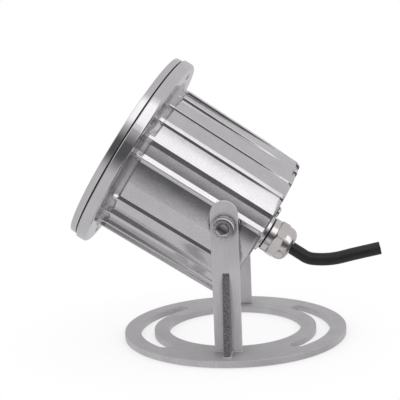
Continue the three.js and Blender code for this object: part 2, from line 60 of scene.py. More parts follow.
rad = math.radians


# ------------------------------------------------------------------ placement
def joint_at(name):
    return Vector(next(j for j in frame["joints"] if j["name"] == name)["pos_m"])


def basis(x, y, z, origin):
    """Matrix with the given axes as its columns."""
    return Matrix(((x[0], y[0], z[0], origin[0]), (x[1], y[1], z[1], origin[1]),
                   (x[2], y[2], z[2], origin[2]), (0, 0, 0, 1)))


TILT = rad(33.65)                  # lamp axis above the horizontal
PIVOT = joint_at("tilt")
FLEX = joint_at("cable_flex")
CENTRE_X = PIVOT.x / MM            # ring centre
LAMP_AXIS = Vector((-math.cos(TILT), 0, math.sin(TILT)))     # towards the glass
LAMP_UP = Vector((math.sin(TILT), 0, math.cos(TILT)))        # towards the lamp's upper side

# lamp frame: +X upper side, +Y left, +Z towards the glass, origin on the pivot line
LAMP = basis(LAMP_UP, (0, 1, 0), LAMP_AXIS, PIVOT)
RING = Matrix.Translation((PIVOT.x, 0, 0))
# turn a part's +Z outwards, to the right or to the left
TO_RIGHT = basis((1, 0, 0), (0, 0, 1), (0, -1, 0), (0, 0, 0))
TO_LEFT = basis((1, 0, 0), (0, 0, -1), (0, 1, 0), (0, 0, 0))


# -------------------------------------------------------------------- outlines
def fillet(corners, closed=True, steps=4):
    """(x, y, radius) corners to a polyline with arcs at the corners that have a radius."""
    out, last = [], len(corners) - 1
    for i, corner in enumerate(corners):
        radius = corner[2] if len(corner) > 2 else 0
        point = np.array(corner[:2], float)
        if radius <= 0 or (not closed and i in (0, last)):
            out.append(tuple(point))
            continue
        to_prev = np.array(corners[i - 1][:2], float) - point
        to_next = np.array(corners[(i + 1) % len(corners)][:2], float) - point
        len_prev, len_next = np.linalg.norm(to_prev), np.linalg.norm(to_next)
        to_prev, to_next = to_prev / len_prev, to_next / len_next
        angle = math.acos(max(-1, min(1, float(to_prev @ to_next))))
        if angle > math.pi - 1e-3 or angle < 1e-3:
            out.append(tuple(point))
            continue
        # the arc takes less than half of either side
        cut = min(radius / math.tan(angle / 2), 0.49 * len_prev, 0.49 * len_next)
        radius = cut * math.tan(angle / 2)
        middle = to_prev + to_next
        centre = point + middle / np.linalg.norm(middle) * (radius / math.sin(angle / 2))
        start, end = point + to_prev * cut - centre, point + to_next * cut - centre
        start_angle = math.atan2(start[1], start[0])
        turn = math.atan2(end[1], end[0]) - start_angle
        turn = (turn + math.pi) % (2 * math.pi) - math.pi
        for k in range(steps + 1):
            t = start_angle + turn * k / steps
            out.append((centre[0] + radius * math.cos(t), centre[1] + radius * math.sin(t)))
    return out


def circle(radius, count, y=0.0, clockwise=False):
    turn = (-1 if clockwise else 1) * 2 * math.pi
    return [(radius * math.cos(turn * k / count), y + radius * math.sin(turn * k / count))
            for k in range(count)]


def arc(x, y, radius, start, end, steps):
    """Points on an arc, its angles in degrees."""
    angles = [rad(start + (end - start) * i / steps) for i in range(steps + 1)]
    return [(x + radius * math.cos(a), y + radius * math.sin(a)) for a in angles]


def around(radius, degrees):
    return [(radius * math.cos(rad(d)), radius * math.sin(rad(d))) for d in degrees]


def subdivided(loop, spacing):
    """Adds points along long straight sides, so that shading stays even."""
    out = []
    for i, p in enumerate(loop):
        q = loop[(i + 1) % len(loop)]
        out.append(p)
        count = int(math.dist(p, q) // spacing)
        for k in range(1, count):
            t = k / count
            out.append((p[0] + (q[0] - p[0]) * t, p[1] + (q[1] - p[1]) * t))
    return out


def catmull(points, per_span):
    """Centripetal Catmull-Rom curve through points."""
    pts = [np.array(p, float) for p in points]
    pts = [2 * pts[0] - pts[1]] + pts + [2 * pts[-1] - pts[-2]]
    out = []
    for i in range(1, len(pts) - 2):
        p0, p1, p2, p3 = pts[i - 1:i + 3]
        t = [0.0]
        for a, b in ((p0, p1), (p1, p2), (p2, p3)):
            t.append(t[-1] + max(np.linalg.norm(b - a), 1e-9) ** 0.5)
        for k in range(per_span):
            x = t[1] + (t[2] - t[1]) * k / per_span

            def blend(a, b, i, j):
                return (t[j] - x) / (t[j] - t[i]) * a + (x - t[i]) / (t[j] - t[i]) * b

            a1, a2, a3 = blend(p0, p1, 0, 1), blend(p1, p2, 1, 2), blend(p2, p3, 2, 3)
            out.append(blend(blend(a1, a2, 0, 2), blend(a2, a3, 1, 3), 1, 2))
    out.append(pts[-2])
    return out


# ------------------------------------------- parts: (vertices in mm, faces) pairs
def lathe(profile, seg=96, wobble=None):
    """Closed surface of revolution about +Z, from (radius, z) points.

    A profile that starts and ends on the axis is open, any other is closed.
    """
    verts, rings, faces = [], [], []
    for r, z in profile:
        if r < 1e-6:
            rings.append([len(verts)])
            verts.append((0, 0, z))
            continue
        rings.append(list(range(len(verts), len(verts) + seg)))
        for k in range(seg):
            a = 2 * math.pi * k / seg
            radius = r + (wobble(r, z, a) if wobble else 0)
            verts.append((radius * math.cos(a), radius * math.sin(a), z))
    pairs = list(zip(rings, rings[1:]))
    if len(rings[0]) > 1:
        pairs.append((rings[-1], rings[0]))
    for lower, upper in pairs:
        if len(lower) == 1 and len(upper) == 1:
            continue
        for k in range(seg):
            j = (k + 1) % seg
            if len(lower) == 1:
                faces.append((lower[0], upper[j], upper[k]))
            elif len(upper) == 1:
                faces.append((lower[k], lower[j], upper[0]))
            else:
                faces.append((lower[k], lower[j], upper[j], upper[k]))
    return verts, faces


def turned(corners, seg, steps=4):
    """Solid turned from (radius, z, corner radius) corners that start and end on the axis."""
    return lathe(fillet(corners, closed=False, steps=steps), seg)


def turned_ring(corners, seg, steps=4):
    """Ring turned from a closed section of (radius, z, corner radius) corners."""
    return lathe(fillet(corners, steps=steps), seg)


def plate(loops, z0, z1, bevel, steps=3):
    """Flat plate with rounded edges.

    loops: the outline counter-clockwise, then holes clockwise.
    """
    verts, faces, rows_of = [], [], []
    angles = [math.pi / 2 * k / steps for k in range(steps + 1)]
    levels = [(bevel * (1 - math.sin(a)), z1 - bevel * (1 - math.cos(a))) for a in angles]
    levels += [(bevel * (1 - math.sin(a)), z0 + bevel * (1 - math.cos(a)))
               for a in reversed(angles)]
    for loop in loops:
        pts = np.array(loop, float)
        edge = np.roll(pts, -1, 0) - pts
        edge /= np.linalg.norm(edge, axis=1)[:, None]
        inward = np.stack([-edge[:, 1], edge[:, 0]], 1)
        mitre = inward + np.roll(inward, 1, 0)
        mitre /= np.maximum((mitre * mitre).sum(1), 1e-9)[:, None] / 2
        rows = []
        for inset, z in levels:
            rows.append(range(len(verts), len(verts) + len(pts)))
            verts.extend((x, y, z) for x, y in pts + mitre * inset)
        for upper, lower in zip(rows, rows[1:]):
            for i in range(len(pts)):
                j = (i + 1) % len(pts)
                faces.append((upper[i], lower[i], lower[j], upper[j]))
        rows_of.append(rows)
    for end in (0, -1):
        index = [i for rows in rows_of for i in rows[end]]
        polys = [[Vector((verts[i][0], verts[i][1], 0)) for i in rows[end]] for rows in rows_of]
        faces.extend(tuple(index[i] for i in t) for t in tessellate_polygon(polys))
    return verts, faces


def sweep(path, radius, sides):
    """Round bar along a path in the XZ plane, with closed ends."""
    points = [Vector(p) for p in path]
    side = Vector((0, 1, 0))
    verts, rings, faces = [], [], []
    for i, p in enumerate(points):
        along = (points[min(i + 1, len(points) - 1)] - points[max(i - 1, 0)]).normalized()
        across = side.cross(along).normalized()
        rings.append(range(len(verts), len(verts) + sides))
        for k in range(sides):
            a = 2 * math.pi * k / sides
            verts.append(p + side * (radius * math.cos(a)) + across * (radius * math.sin(a)))
    for near, far in zip(rings, rings[1:]):
        for k in range(sides):
            j = (k + 1) % sides
            faces.append((near[k], near[j], far[j], far[k]))
    return verts, faces + [tuple(rings[0]), tuple(rings[-1])]


def merge(*parts):
    verts, faces = [], []
    for part_verts, part_faces in parts:
        offset = len(verts)
        verts.extend(part_verts)
        faces.extend(tuple(i + offset for i in face) for face in part_faces)
    return verts, faces


def moved(part, matrix):
    return [tuple(matrix @ Vector(v)) for v in part[0]], part[1]


def shifted(part, x=0.0, y=0.0):
    return [(v[0] + x, v[1] + y, v[2]) for v in part[0]], part[1]


def copies(part, places):
    return merge(*[shifted(part, x, y) for x, y in places])


def both_sides(part):
    return merge(moved(part, TO_RIGHT), moved(part, TO_LEFT))


def hex_radius(across_flats):
    return across_flats / math.sqrt(3)


# --------------------------------------------------------------- parts to objects
def raw(part, name="tmp"):
    verts, faces = part
    mesh = bpy.data.meshes.new(name)
    mesh.from_pydata([tuple(c * MM for c in v) for v in verts], [], [tuple(f) for f in faces])
    bm = bmesh.new()
    bm.from_mesh(mesh)
    bmesh.ops.remove_doubles(bm, verts=bm.verts, dist=1e-7)
    bmesh.ops.recalc_face_normals(bm, faces=bm.faces)
    bm.to_mesh(mesh)
    bm.free()
    obj = bpy.data.objects.new(name, mesh)
    bpy.context.scene.collection.objects.link(obj)
    return obj


def boolean(obj, part, operation):
    other = raw(part)
    mod = obj.modifiers.new("cut", "BOOLEAN")
    mod.operation, mod.object, mod.solver = operation, other, "MANIFOLD"
    bpy.context.view_layer.update()
    graph = bpy.context.evaluated_depsgraph_get()
    mesh = bpy.data.meshes.new_from_object(obj.evaluated_get(graph))
    obj.modifiers.clear()
    old, obj.data = obj.data, mesh
    bpy.data.meshes.remove(old)
    bpy.data.objects.remove(other)
    if len(mesh.polygons) < 8:
        raise RuntimeError("empty boolean on " + obj.name)


def shade_smooth(mesh, sharp_angle):
    for polygon in mesh.polygons:
        polygon.use_smooth = True
    mesh.set_sharp_from_angle(angle=rad(sharp_angle))


def finish_piece(obj, matrix, body, materials, slot, replaces, smooth=35, by_face=None):
    """by_face: (face centre in mm, normal) to material index.
    """
    mesh = obj.data
    mesh.name = obj.name
    mesh.materials.clear()
    for material in (materials if isinstance(materials, list) else [materials]):
        mesh.materials.append(material)
    if by_face:
        for polygon in mesh.polygons:
            polygon.material_index = by_face(polygon.center / MM, polygon.normal)
    shade_smooth(mesh, smooth)
    normals = obj.modifiers.new("normals", "WEIGHTED_NORMAL")
    normals.keep_sharp = True
    normals.weight = 50
    obj.matrix_world = matrix
    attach(obj, body)
    if replaces:
        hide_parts(replaces)


def piece(name, part, matrix, body, materials, slot=None, replaces=None, adds=(), cut=None, **look):
    obj = raw(part, name)
    for add in adds:
        boolean(obj, add, "UNION")
    if cut:
        boolean(obj, cut, "DIFFERENCE")
    finish_piece(obj, matrix, body, materials, slot, replaces, **look)


def base_piece(name, part, materials, replaces=None, **look):
    piece(name, part, RING, "base", materials, "brushed_plate", replaces, **look)


def lamp_piece(name, part, materials, slot, replaces, **options):
    piece(name, part, LAMP, "lamp_head", materials, slot, replaces, **options)


# ---------------------------------------------------------------- shader nodes
POLAR_ANGLE_SCALE = 0.004          # metres of texture per radian


def grey(value):
    return (value,) * 3


class Nodes:
    """Short ways to add nodes to the tree of a material or world."""

    def __init__(self, owner, output="OutputMaterial"):
        owner.use_nodes = True
        self.owner, self.tree = owner, owner.node_tree
        self.tree.nodes.clear()
        self.output = self.node(output)

    def node(self, kind, **props):
        node = self.tree.nodes.new("ShaderNode" + kind)
        for key, value in props.items():
            setattr(node, key, value)
        return node

    def put(self, socket, value):
        if isinstance(value, bpy.types.NodeSocket):
            self.tree.links.new(value, socket)
        elif isinstance(value, (tuple, list)) and len(value) == 3 and socket.type == "RGBA":
            socket.default_value = (*value, 1)
        else:
            socket.default_value = value

    def math(self, operation, a, b=0.0):
        node = self.node("Math", operation=operation)
        self.put(node.inputs[0], a)
        self.put(node.inputs[1], b)
        return node.outputs[0]

    def vector_math(self, operation, a, b):
        node = self.node("VectorMath", operation=operation)
        self.put(node.inputs[0], a)
        self.put(node.inputs[1], b)
        return node.outputs["Value" if operation == "DOT_PRODUCT" else "Vector"]

    def separate(self, vector):
        node = self.node("SeparateXYZ")
        self.put(node.inputs[0], vector)
        return node.outputs

    def remap(self, value, low, high, to_low=0.0, to_high=1.0, smooth=False):
        node = self.node("MapRange", interpolation_type="SMOOTHSTEP" if smooth else "LINEAR")
        for i, x in enumerate((value, low, high, to_low, to_high)):
            self.put(node.inputs[i], x)
        return node.outputs[0]

    def mix(self, factor, a, b, blend="MIX"):
        node = self.node("Mix", data_type="RGBA", blend_type=blend)
        self.put(node.inputs[0], factor)
        self.put(node.inputs[6], a)
        self.put(node.inputs[7], b)
        return node.outputs[2]

    def multiplied(self, color, by):
        return self.mix(1.0, color, by, "MULTIPLY")

    def mix_shader(self, factor, a, b):
        node = self.node("MixShader")
        self.put(node.inputs[0], factor)
        self.put(node.inputs[1], a.outputs[0])
        self.put(node.inputs[2], b.outputs[0])
        return node

    def coords(self, polar=False):
        """Object coordinates, or (radius, angle as a length, z) about the object's Z axis."""
        plain = self.node("TexCoord").outputs["Object"]
        if not polar:
            return plain
        x, y, z = self.separate(plain)
        squares = self.math("ADD", self.math("MULTIPLY", x, x), self.math("MULTIPLY", y, y))
        node = self.node("CombineXYZ")
        self.put(node.inputs[0], self.math("SQRT", squares))
        self.put(node.inputs[1],
                 self.math("MULTIPLY", self.math("ARCTAN2", y, x), POLAR_ANGLE_SCALE))
        self.put(node.inputs[2], z)
        return node.outputs[0]

    def noise(self, vector, scale, detail, roughness=0.5, stretch=(1, 1, 1)):
        node = self.node("TexNoise")
        self.put(node.inputs["Vector"], self.vector_math("MULTIPLY", vector, stretch))
        node.inputs["Scale"].default_value = scale
        node.inputs["Detail"].default_value = detail
        node.inputs["Roughness"].default_value = roughness
        return node.outputs["Fac"]

    def bump(self, height, distance, normal=None):
        node = self.node("Bump")
        node.inputs["Strength"].default_value = 1.0
        node.inputs["Distance"].default_value = distance
        self.put(node.inputs["Height"], height)
        if normal is not None:
            self.put(node.inputs["Normal"], normal)
        return node.outputs[0]

    def occlusion(self, distance, only_local=False):
        node = self.node("AmbientOcclusion", samples=16, only_local=only_local)
        node.inputs["Distance"].default_value = distance
        return node.outputs["AO"]

    def principled(self, **values):
        node = self.node("BsdfPrincipled")
        for key, value in values.items():
            self.put(node.inputs[key.replace("_", " ")], value)
        return node

    def finish(self, shader):
        self.put(self.output.inputs["Surface"], shader.outputs[0])
        return self.owner


def shades(color, spread):
    """A darker and a lighter version of a colour."""
    return tuple(c * (1 - spread) for c in color), tuple(min(1, c * (1 + spread)) for c in color)


# -------------------------------------------------------------- material kinds
def steel(name, color, rough, lines=None, line_scale=900, line_bump=0.000004, line_var=0.08,
          grain=0.0, grain_scale=2200, wave=0.0, wave_scale=160, cavity=0.0, cavity_dist=0.0018,
          speck=0.0, polar=False, stain=0.05, rough_var=0.05, metallic=1.0, ao_lo=0.45,
          ao_all=False):
    """Bare metal.

    lines: stretch of the brushing or turning lines, with their scale, depth and darkening
    grain, wave: depths of the fine casting grain and of the soft waviness, with their scales
    speck: darkening of the grain; stain, rough_var: cloudy change of colour and roughness
    cavity: painted shade, ambient occlusion that darkens creases and recesses within cavity_dist;
    ao_lo is where it is fullest, and ao_all lets other pieces darken it too
    polar: lines follow circles about Z
    """
    s = Nodes(bpy.data.materials.new(name))
    vector = s.coords(polar)
    plain = s.coords()
    cloud = s.noise(plain, scale=60, detail=3, roughness=0.55)
    col = s.mix(s.remap(cloud, 0.3, 0.7), *shades(color, stain))
    cloud_offset = s.math("SUBTRACT", cloud, 0.5)
    roughness = s.math("ADD", rough, s.math("MULTIPLY", cloud_offset, rough_var * 2))
    normal = None
    if wave:
        normal = s.bump(s.noise(plain, scale=wave_scale, detail=2), wave)
    if grain:
        fine = s.noise(plain, scale=grain_scale, detail=2, roughness=0.6)
        normal = s.bump(fine, grain, normal)
        col = s.mix(s.remap(fine, 0.42, 0.62), s.multiplied(col, grey(1 - speck)), col)
    if lines:
        line = s.noise(vector, scale=line_scale, detail=3, roughness=0.65, stretch=lines)
        normal = s.bump(line, line_bump, normal)
        col = s.mix(s.remap(line, 0.3, 0.7), s.multiplied(col, grey(1 - line_var)), col)
        line_offset = s.math("SUBTRACT", line, 0.5)
        roughness = s.math("ADD", roughness, s.math("MULTIPLY", line_offset, 0.12))
    # painted shade: ambient occlusion darkens the colour in creases, recesses and beside other
    # pieces
    if cavity:
        open_share = s.occlusion(cavity_dist, only_local=not ao_all)
        col = s.multiplied(col, s.remap(open_share, ao_lo, 0.95, 1 - cavity, 1.0))
    values = dict(Base_Color=col, Metallic=metallic, Roughness=s.math("MAXIMUM", roughness, 0.05))
    if normal is not None:
        values["Normal"] = normal
    return s.finish(s.principled(**values))


def dull(name, color, rough, scale, var, grain=0.00002, specular=0.4, stretch=(1, 1, 1)):
    """Rubber, plastic, board and pad surfaces.

    scale, grain, stretch: size, depth and stretch of the fine grain; var: its change of colour
    """
    s = Nodes(bpy.data.materials.new(name))
    vector = s.coords()
    fine = s.noise(vector, scale=scale, detail=3, roughness=0.6, stretch=stretch)
    cloud = s.noise(vector, scale=90, detail=2)
    return s.finish(s.principled(
        Base_Color=s.mix(s.remap(fine, 0.3, 0.7), *shades(color, var)),
        Roughness=s.remap(cloud, 0.3, 0.7, rough - 0.06, rough + 0.06),
        Normal=s.bump(fine, grain), Specular_IOR_Level=specular))


def phosphor():
    s = Nodes(bpy.data.materials.new("led_phosphor"))
    vector = s.coords()
    speckle = s.remap(s.noise(vector, scale=1800, detail=2), 0.35, 0.65)
    return s.finish(s.principled(
        Base_Color=s.mix(speckle, (0.86, 0.60, 0.12), (0.93, 0.70, 0.20)), Roughness=0.35,
        Normal=s.bump(s.noise(vector, scale=900, detail=2), 0.00004), Coat_Weight=0.6))


def clear(name, color, rough, ior, refract):
    """Clear glass or acrylic that doesn't block the light that reaches what lies behind it."""
    s = Nodes(bpy.data.materials.new(name))
    smear = s.noise(s.coords(), scale=220, detail=3)
    roughness = s.remap(smear, 0.3, 0.7, rough * 0.6, rough * 1.6)
    reflectance = s.node("Fresnel")
    reflectance.inputs["IOR"].default_value = ior
    reflectance = reflectance.outputs[0]
    glossy = s.node("BsdfGlossy")
    s.put(glossy.inputs["Roughness"], roughness)
    s.put(glossy.inputs["Color"], grey(1))
    transparent = s.node("BsdfTransparent")
    s.put(transparent.inputs["Color"], color)
    through = transparent
    if refract:
        through = s.node("BsdfRefraction")
        s.put(through.inputs["Color"], color)
        through.inputs["IOR"].default_value = ior
        s.put(through.inputs["Roughness"], roughness)
    else:       # the far face of the sheet lets the straight ray out again
        backfacing = s.node("NewGeometry").outputs["Backfacing"]
        reflectance = s.math("MULTIPLY", reflectance, s.math("SUBTRACT", 1.0, backfacing))
    seen = s.mix_shader(reflectance, through, glossy)
    path = s.node("LightPath").outputs
    lighting = s.math("MAXIMUM", path["Is Shadow Ray"], path["Is Diffuse Ray"])
    return s.finish(s.mix_shader(lighting, seen, transparent))


# ------------------------------------------------------------------- materials
def tint(brightness):
    """The steel colour at a brightness."""
    return tuple(c * brightness for c in (0.803, 0.777, 0.806))


# cavity: painted shade in the creases of the casting, such as the rib feet
CAST_STEEL = steel(
    "cast_steel", color=tint(0.99), rough=0.165, grain=0.0000085, grain_scale=1700, wave=0.00005,
    wave_scale=170, cavity=0.78, cavity_dist=0.0017, speck=0.12, stain=0.05)
TURNED_STEEL = steel(
    "turned_steel", color=tint(0.99), rough=0.12, lines=(1, 0.05, 1), line_scale=2600,
    line_bump=0.0000018, line_var=0.10, polar=True, stain=0.03, rough_var=0.02)
# darker copy of cast_steel, with its own cavity: painted shade on the neck behind the flange; its
# higher roughness is the neck's own
SHADED_NECK_STEEL = steel(
    "cast_steel_neck_painted_shade", color=tint(0.90), rough=0.40, grain=0.0000085, grain_scale=1700,
    cavity=0.40, cavity_dist=0.0030, speck=0.12, stain=0.05)
# near-white and barely metallic: a real seam bead whose colour is a painted highlight
SEAM_STEEL_PAINTED_HIGHLIGHT = steel(
    "seam_steel_painted_highlight", color=tint(1.22), rough=0.34, grain=0.00003, grain_scale=1500, wave=0.00008,
    wave_scale=500, speck=0.2, stain=0.12, metallic=0.15)
BEZEL_STEEL = steel(
    "turned_bezel_steel", color=tint(0.98), rough=0.10, lines=(1, 0.05, 1), line_scale=3000,
    line_bump=0.0000016, line_var=0.12, polar=True, stain=0.03, rough_var=0.02)
# cavity with ao_all: painted shade on the uprights where they meet the ring, rib and seam
ARM_STEEL = steel(
    "brushed_plate_arm", color=tint(1.18), rough=0.48, lines=(1, 1, 0.03), line_scale=1900,
    line_bump=0.0000035, line_var=0.14, stain=0.05, metallic=0.27, cavity=0.34,
    cavity_dist=0.0020, ao_all=True)
# cavity with ao_all over a wide reach: painted shade on the ring round the feet of the uprights and
# ribs
RING_STEEL = steel(
    "brushed_plate_ring", color=tint(0.96), rough=0.46, lines=(0.05, 1, 1), line_scale=1700,
    line_bump=0.0000035, line_var=0.14, stain=0.06, metallic=0.42, cavity=0.34,
    cavity_dist=0.011, ao_lo=0.35, ao_all=True)
EDGE_STEEL = steel(
    "brushed_plate_edge", color=tint(1.08), rough=0.42, grain=0.00001, grain_scale=1500,
    speck=0.15, stain=0.07, metallic=0.35)
# half the steel's brightness: painted dark reflection on the rib plates; the speckle is grain
GUSSET_STEEL_PAINTED_REFLECTION = steel(
    "gusset_plate_painted_reflection", color=tint(0.50), rough=0.42, grain=0.00004, grain_scale=1300, speck=0.5,
    wave=0.00006, wave_scale=400, stain=0.10, metallic=0.7)
# cavity: painted shade in the knurl, the washer gaps and the other creases of the screws
BOLT_STEEL = steel(
    "bolt_steel", color=tint(0.98), rough=0.16, grain=0.00001, grain_scale=2600, wave=0.00010,
    wave_scale=520, cavity=0.7, cavity_dist=0.0016, speck=0.15, stain=0.10)
# darker copy of bolt_steel with strong cavity: painted shade inside the hex sockets
SHADED_SOCKET_STEEL = steel(
    "socket_steel_painted_shade", color=tint(0.62), rough=0.24, grain=0.00001, grain_scale=2600, wave=0.00012,
    wave_scale=520, cavity=0.92, cavity_dist=0.0030, ao_lo=0.10, speck=0.15, stain=0.15)
NICKEL = steel(
    "nickel_brass", color=(0.80, 0.765, 0.765), rough=0.13, lines=(1, 0.05, 1), line_scale=1800,
    line_bump=0.0000018, line_var=0.06, polar=True, stain=0.05, grain=0.000004, grain_scale=900)
RUBBER = dull("black_rubber", color=(0.018, 0.018, 0.02), rough=0.55, scale=1200, var=0.3)
CABLE_RUBBER = dull("cable_rubber", color=(0.020, 0.020, 0.022), rough=0.48, grain=0.00004,
                    scale=1400, var=0.35, specular=0.5, stretch=(0.35, 1, 1))
PLASTIC = dull("black_plastic", color=(0.025, 0.025, 0.027), rough=0.4, scale=1600, var=0.2)
SILICONE = dull("silicone", color=(0.62, 0.62, 0.60), rough=0.45, scale=700, var=0.05)
ALUMINIUM = steel("heat_spreader_alu", color=(0.86, 0.87, 0.88), rough=0.28, lines=(1, 0.03, 1),
                  line_scale=1500, polar=True, stain=0.03)
PAD = dull("thermal_pad", color=(0.25, 0.27, 0.30), rough=0.75, scale=1400, var=0.12)
BOARD_WHITE = dull("board_white", color=(0.78, 0.79, 0.77), rough=0.38, scale=500, var=0.03)
BOARD_GREEN = dull("board_green", color=(0.012, 0.14, 0.045), rough=0.32, scale=800, var=0.20)
COIL = steel("copper_coil", color=(0.80, 0.42, 0.20), rough=0.28, lines=(1, 3.0, 1),
             line_scale=500, line_bump=0.0002, line_var=0.35, stain=0.10)
SLEEVE = dull("capacitor_sleeve", color=(0.03, 0.035, 0.05), rough=0.3, scale=900, var=0.1)
TERMINAL = dull("terminal_green", color=(0.05, 0.26, 0.09), rough=0.38, scale=900, var=0.1)
WIRE_RED = dull("wire_red", color=(0.42, 0.02, 0.02), rough=0.38, scale=1200, var=0.1)
WIRE_BLACK = dull("wire_black", color=(0.02, 0.02, 0.022), rough=0.38, scale=1200, var=0.2)
COPPER = steel("copper_strand", color=(0.86, 0.45, 0.24), rough=0.25, grain=0.00004,
               grain_scale=2600, speck=0.4)
CORE_BROWN = dull("core_brown", color=(0.13, 0.045, 0.02), rough=0.4, scale=1300, var=0.12)
CORE_BLUE = dull("core_blue", color=(0.02, 0.07, 0.28), rough=0.4, scale=1300, var=0.12)
PHOSPHOR = phosphor()
GLASS = clear("clear_glass", color=(0.93, 0.97, 0.955), rough=0.02, ior=1.5, refract=False)
ACRYLIC = clear("clear_acrylic", color=(0.95, 0.96, 0.965), rough=0.05, ior=1.49, refract=True)

# --------------------------------------------------------------------- bracket
RING_R, RING_HOLE_R, RING_T = 70.0, 42.0, 4.0
SLOT_R, SLOT_HALF_W, SLOT_HALF_ANGLE = 55.7, 4.4, 45.2    # curved slots, angle in degrees
ARM_IN, ARM_OUT = 50.1, 53.1       # faces of an upright, from the middle plane
ARM_HALF_W, ARM_TOP = 8.0, 92.8
ARM_HOLE_R = 4.5
RIB_FOOT, RIB_TOP, RIB_HALF_T = 64.5, 50.8, 2.0           # triangular rib outside an upright
SEAM_OUT, SEAM_TOP = 0.5, 4.55     # seam beyond the plates it runs round, and its height
SEAM_HALF_LENGTH = ARM_HALF_W + 0.45


def slot_loop(middle):
    """Clockwise outline of a round-ended slot, bent round the ring centre."""
    start, end = middle - SLOT_HALF_ANGLE, middle + SLOT_HALF_ANGLE
    (start_x, start_y), (end_x, end_y) = around(SLOT_R, (start, end))
    loop = arc(0, 0, SLOT_R + SLOT_HALF_W, start, end, 56)
    loop += arc(end_x, end_y, SLOT_HALF_W, end, end + 180, 18)[1:]
    loop += arc(0, 0, SLOT_R - SLOT_HALF_W, end, start, 50)[1:]
    loop += arc(start_x, start_y, SLOT_HALF_W, start + 180, start + 360, 18)[1:-1]
    return loop[::-1]


def build_ring():
    loops = [circle(RING_R, 256), circle(RING_HOLE_R, 176, clockwise=True),
             slot_loop(0), slot_loop(180)]
    base_piece("ring_plate", plate(loops, 0.0, RING_T, 0.3), [RING_STEEL, EDGE_STEEL],
               "base_ring", by_face=lambda centre, normal: 1 if abs(normal.z) < 0.6 else 0)


def build_uprights():
    outline = [(-ARM_HALF_W, RING_T), (ARM_HALF_W, RING_T)]
    outline += arc(0, ARM_TOP - ARM_HALF_W, ARM_HALF_W, 0, 180, 48)
    hole = circle(ARM_HOLE_R, 48, y=PIVOT.z / MM, clockwise=True)
    for tag, z0, z1 in (("right", ARM_IN, ARM_OUT), ("left", -ARM_OUT, -ARM_IN)):
        # the mesh itself is turned, so that the brushing along its Z runs up the arm
        upright = moved(plate([subdivided(outline, 8), hole], z0, z1, 0.3), TO_RIGHT)
        base_piece("upright_" + tag, upright, ARM_STEEL, "arm_" + tag)


def build_rib(tag, side):
    outline = [(0, RING_T), (RIB_FOOT - ARM_OUT, RING_T), (0, RIB_TOP)]
    verts, faces = plate([subdivided(outline, 4)], -RIB_HALF_T, RIB_HALF_T, 0.22)
    verts = [(side * z, side * (ARM_OUT + out), up) for out, up, z in verts]
    base_piece("rib_plate_" + tag, (verts, faces), GUSSET_STEEL_PAINTED_REFLECTION, "gusset_" + tag)


def build_foot_seam(tag, side):
    """Raised line round the foot of the upright and of its rib, its near-white colour a painted
    highlight.
    """
    half_x, rib_x = SEAM_HALF_LENGTH, RIB_HALF_T + SEAM_OUT
    inner, outer, tip = ARM_IN + SEAM_OUT, ARM_OUT + SEAM_OUT, RIB_FOOT + SEAM_OUT
    outline = [(-half_x, inner), (half_x, inner), (half_x, outer), (rib_x, outer),
               (rib_x, tip), (-rib_x, tip), (-rib_x, outer), (-half_x, outer)]
    outline = [(x, side * y) for x, y in outline][::side]
    seam = plate([subdivided(outline, 3)], RING_T - 0.1, SEAM_TOP, 0.24)
    base_piece("foot_seam_" + tag, seam, SEAM_STEEL_PAINTED_HIGHLIGHT)


build_ring()
build_uprights()
for tag, side in (("right", -1), ("left", 1)):
    build_rib(tag, side)
    build_foot_seam(tag, side)

# --------------------------------------------------------------------- housing
# z and radii in the lamp frame
FLANGE_FRONT, FLANGE_REAR, FLANGE_R = 73.0, 65.9, 64.1
FLANGE_FRONT_ROUND, FLANGE_REAR_ROUND = 0.7, 2.2
REAR, REAR_ROUND = -21.8, 2.2                 # rear of the body and the rounding of its edge
CREST_FRONT, CREST_REAR = 50.2, 48.25         # rib crests at the flange and at the rear
NECK_R, NECK_Z, NECK_FILLET = 47.2, 60.1, 5.8
CAVITY_R, CAVITY_FLOOR = 41.0, -17.8
SECTION_DROP = 0.5

# half of the ribbed section at the flange, as (up, sideways, corner radius);
# in the lower half the first column counts downwards
UPPER = [
    (50.2, 1.1, 0.75), (47.9, 1.25, 0.35), (47.4, 16.55, 0.85), (45.2, 16.7, 0.35),
    (41.0, 29.1, 0.7), (40.3, 29.75, 0.5), (39.1, 29.8, 0.3), (32.8, 37.95, 0.7),
    (31.0, 39.3, 0.6), (29.3, 39.5, 0.3), (21.6, 45.3, 0.9), (20.0, 46.1, 0.9),
    (17.2, 46.25, 0.6), (10.95, 48.1, 0.8), (7.95, 49.7, 0.9), (5.9, 48.05, 0.5),
]
LOWER = [
    (8.1, 48.05, 0.9), (18.2, 45.3, 0.5), (20.6, 45.75, 0.8), (28.3, 38.3, 0.5),
    (32.1, 38.6, 0.8), (37.8, 28.5, 0.5), (41.3, 28.75, 0.8), (44.2, 15.65, 0.5),
    (47.9, 15.85, 0.8), (47.2, 1.4, 0.4), (50.8, 1.2, 0.75),
]
# stations of the body just behind the flange, close together where the ribs run out
NECK_STATIONS = (
    65.9, 65.86, 65.76, 65.6, 65.38, 65.1, 64.8, 64.45, 64.1, 63.7, 63.3, 62.9, 62.5, 62.1,
    61.75, 61.45, 61.25, 61.1, 60.95, 60.8, 60.65, 60.5, 60.35, 60.2, 59.9, 59.3, 58.3)


def smoothstep(low, high, x):
    t = min(1.0, max(0.0, (x - low) / (high - low)))
    return t * t * (3 - 2 * t)


def smooth_max(a, b, width):
    h = max(width - abs(a - b), 0.0) / width
    return max(a, b) + h * h * width * 0.25


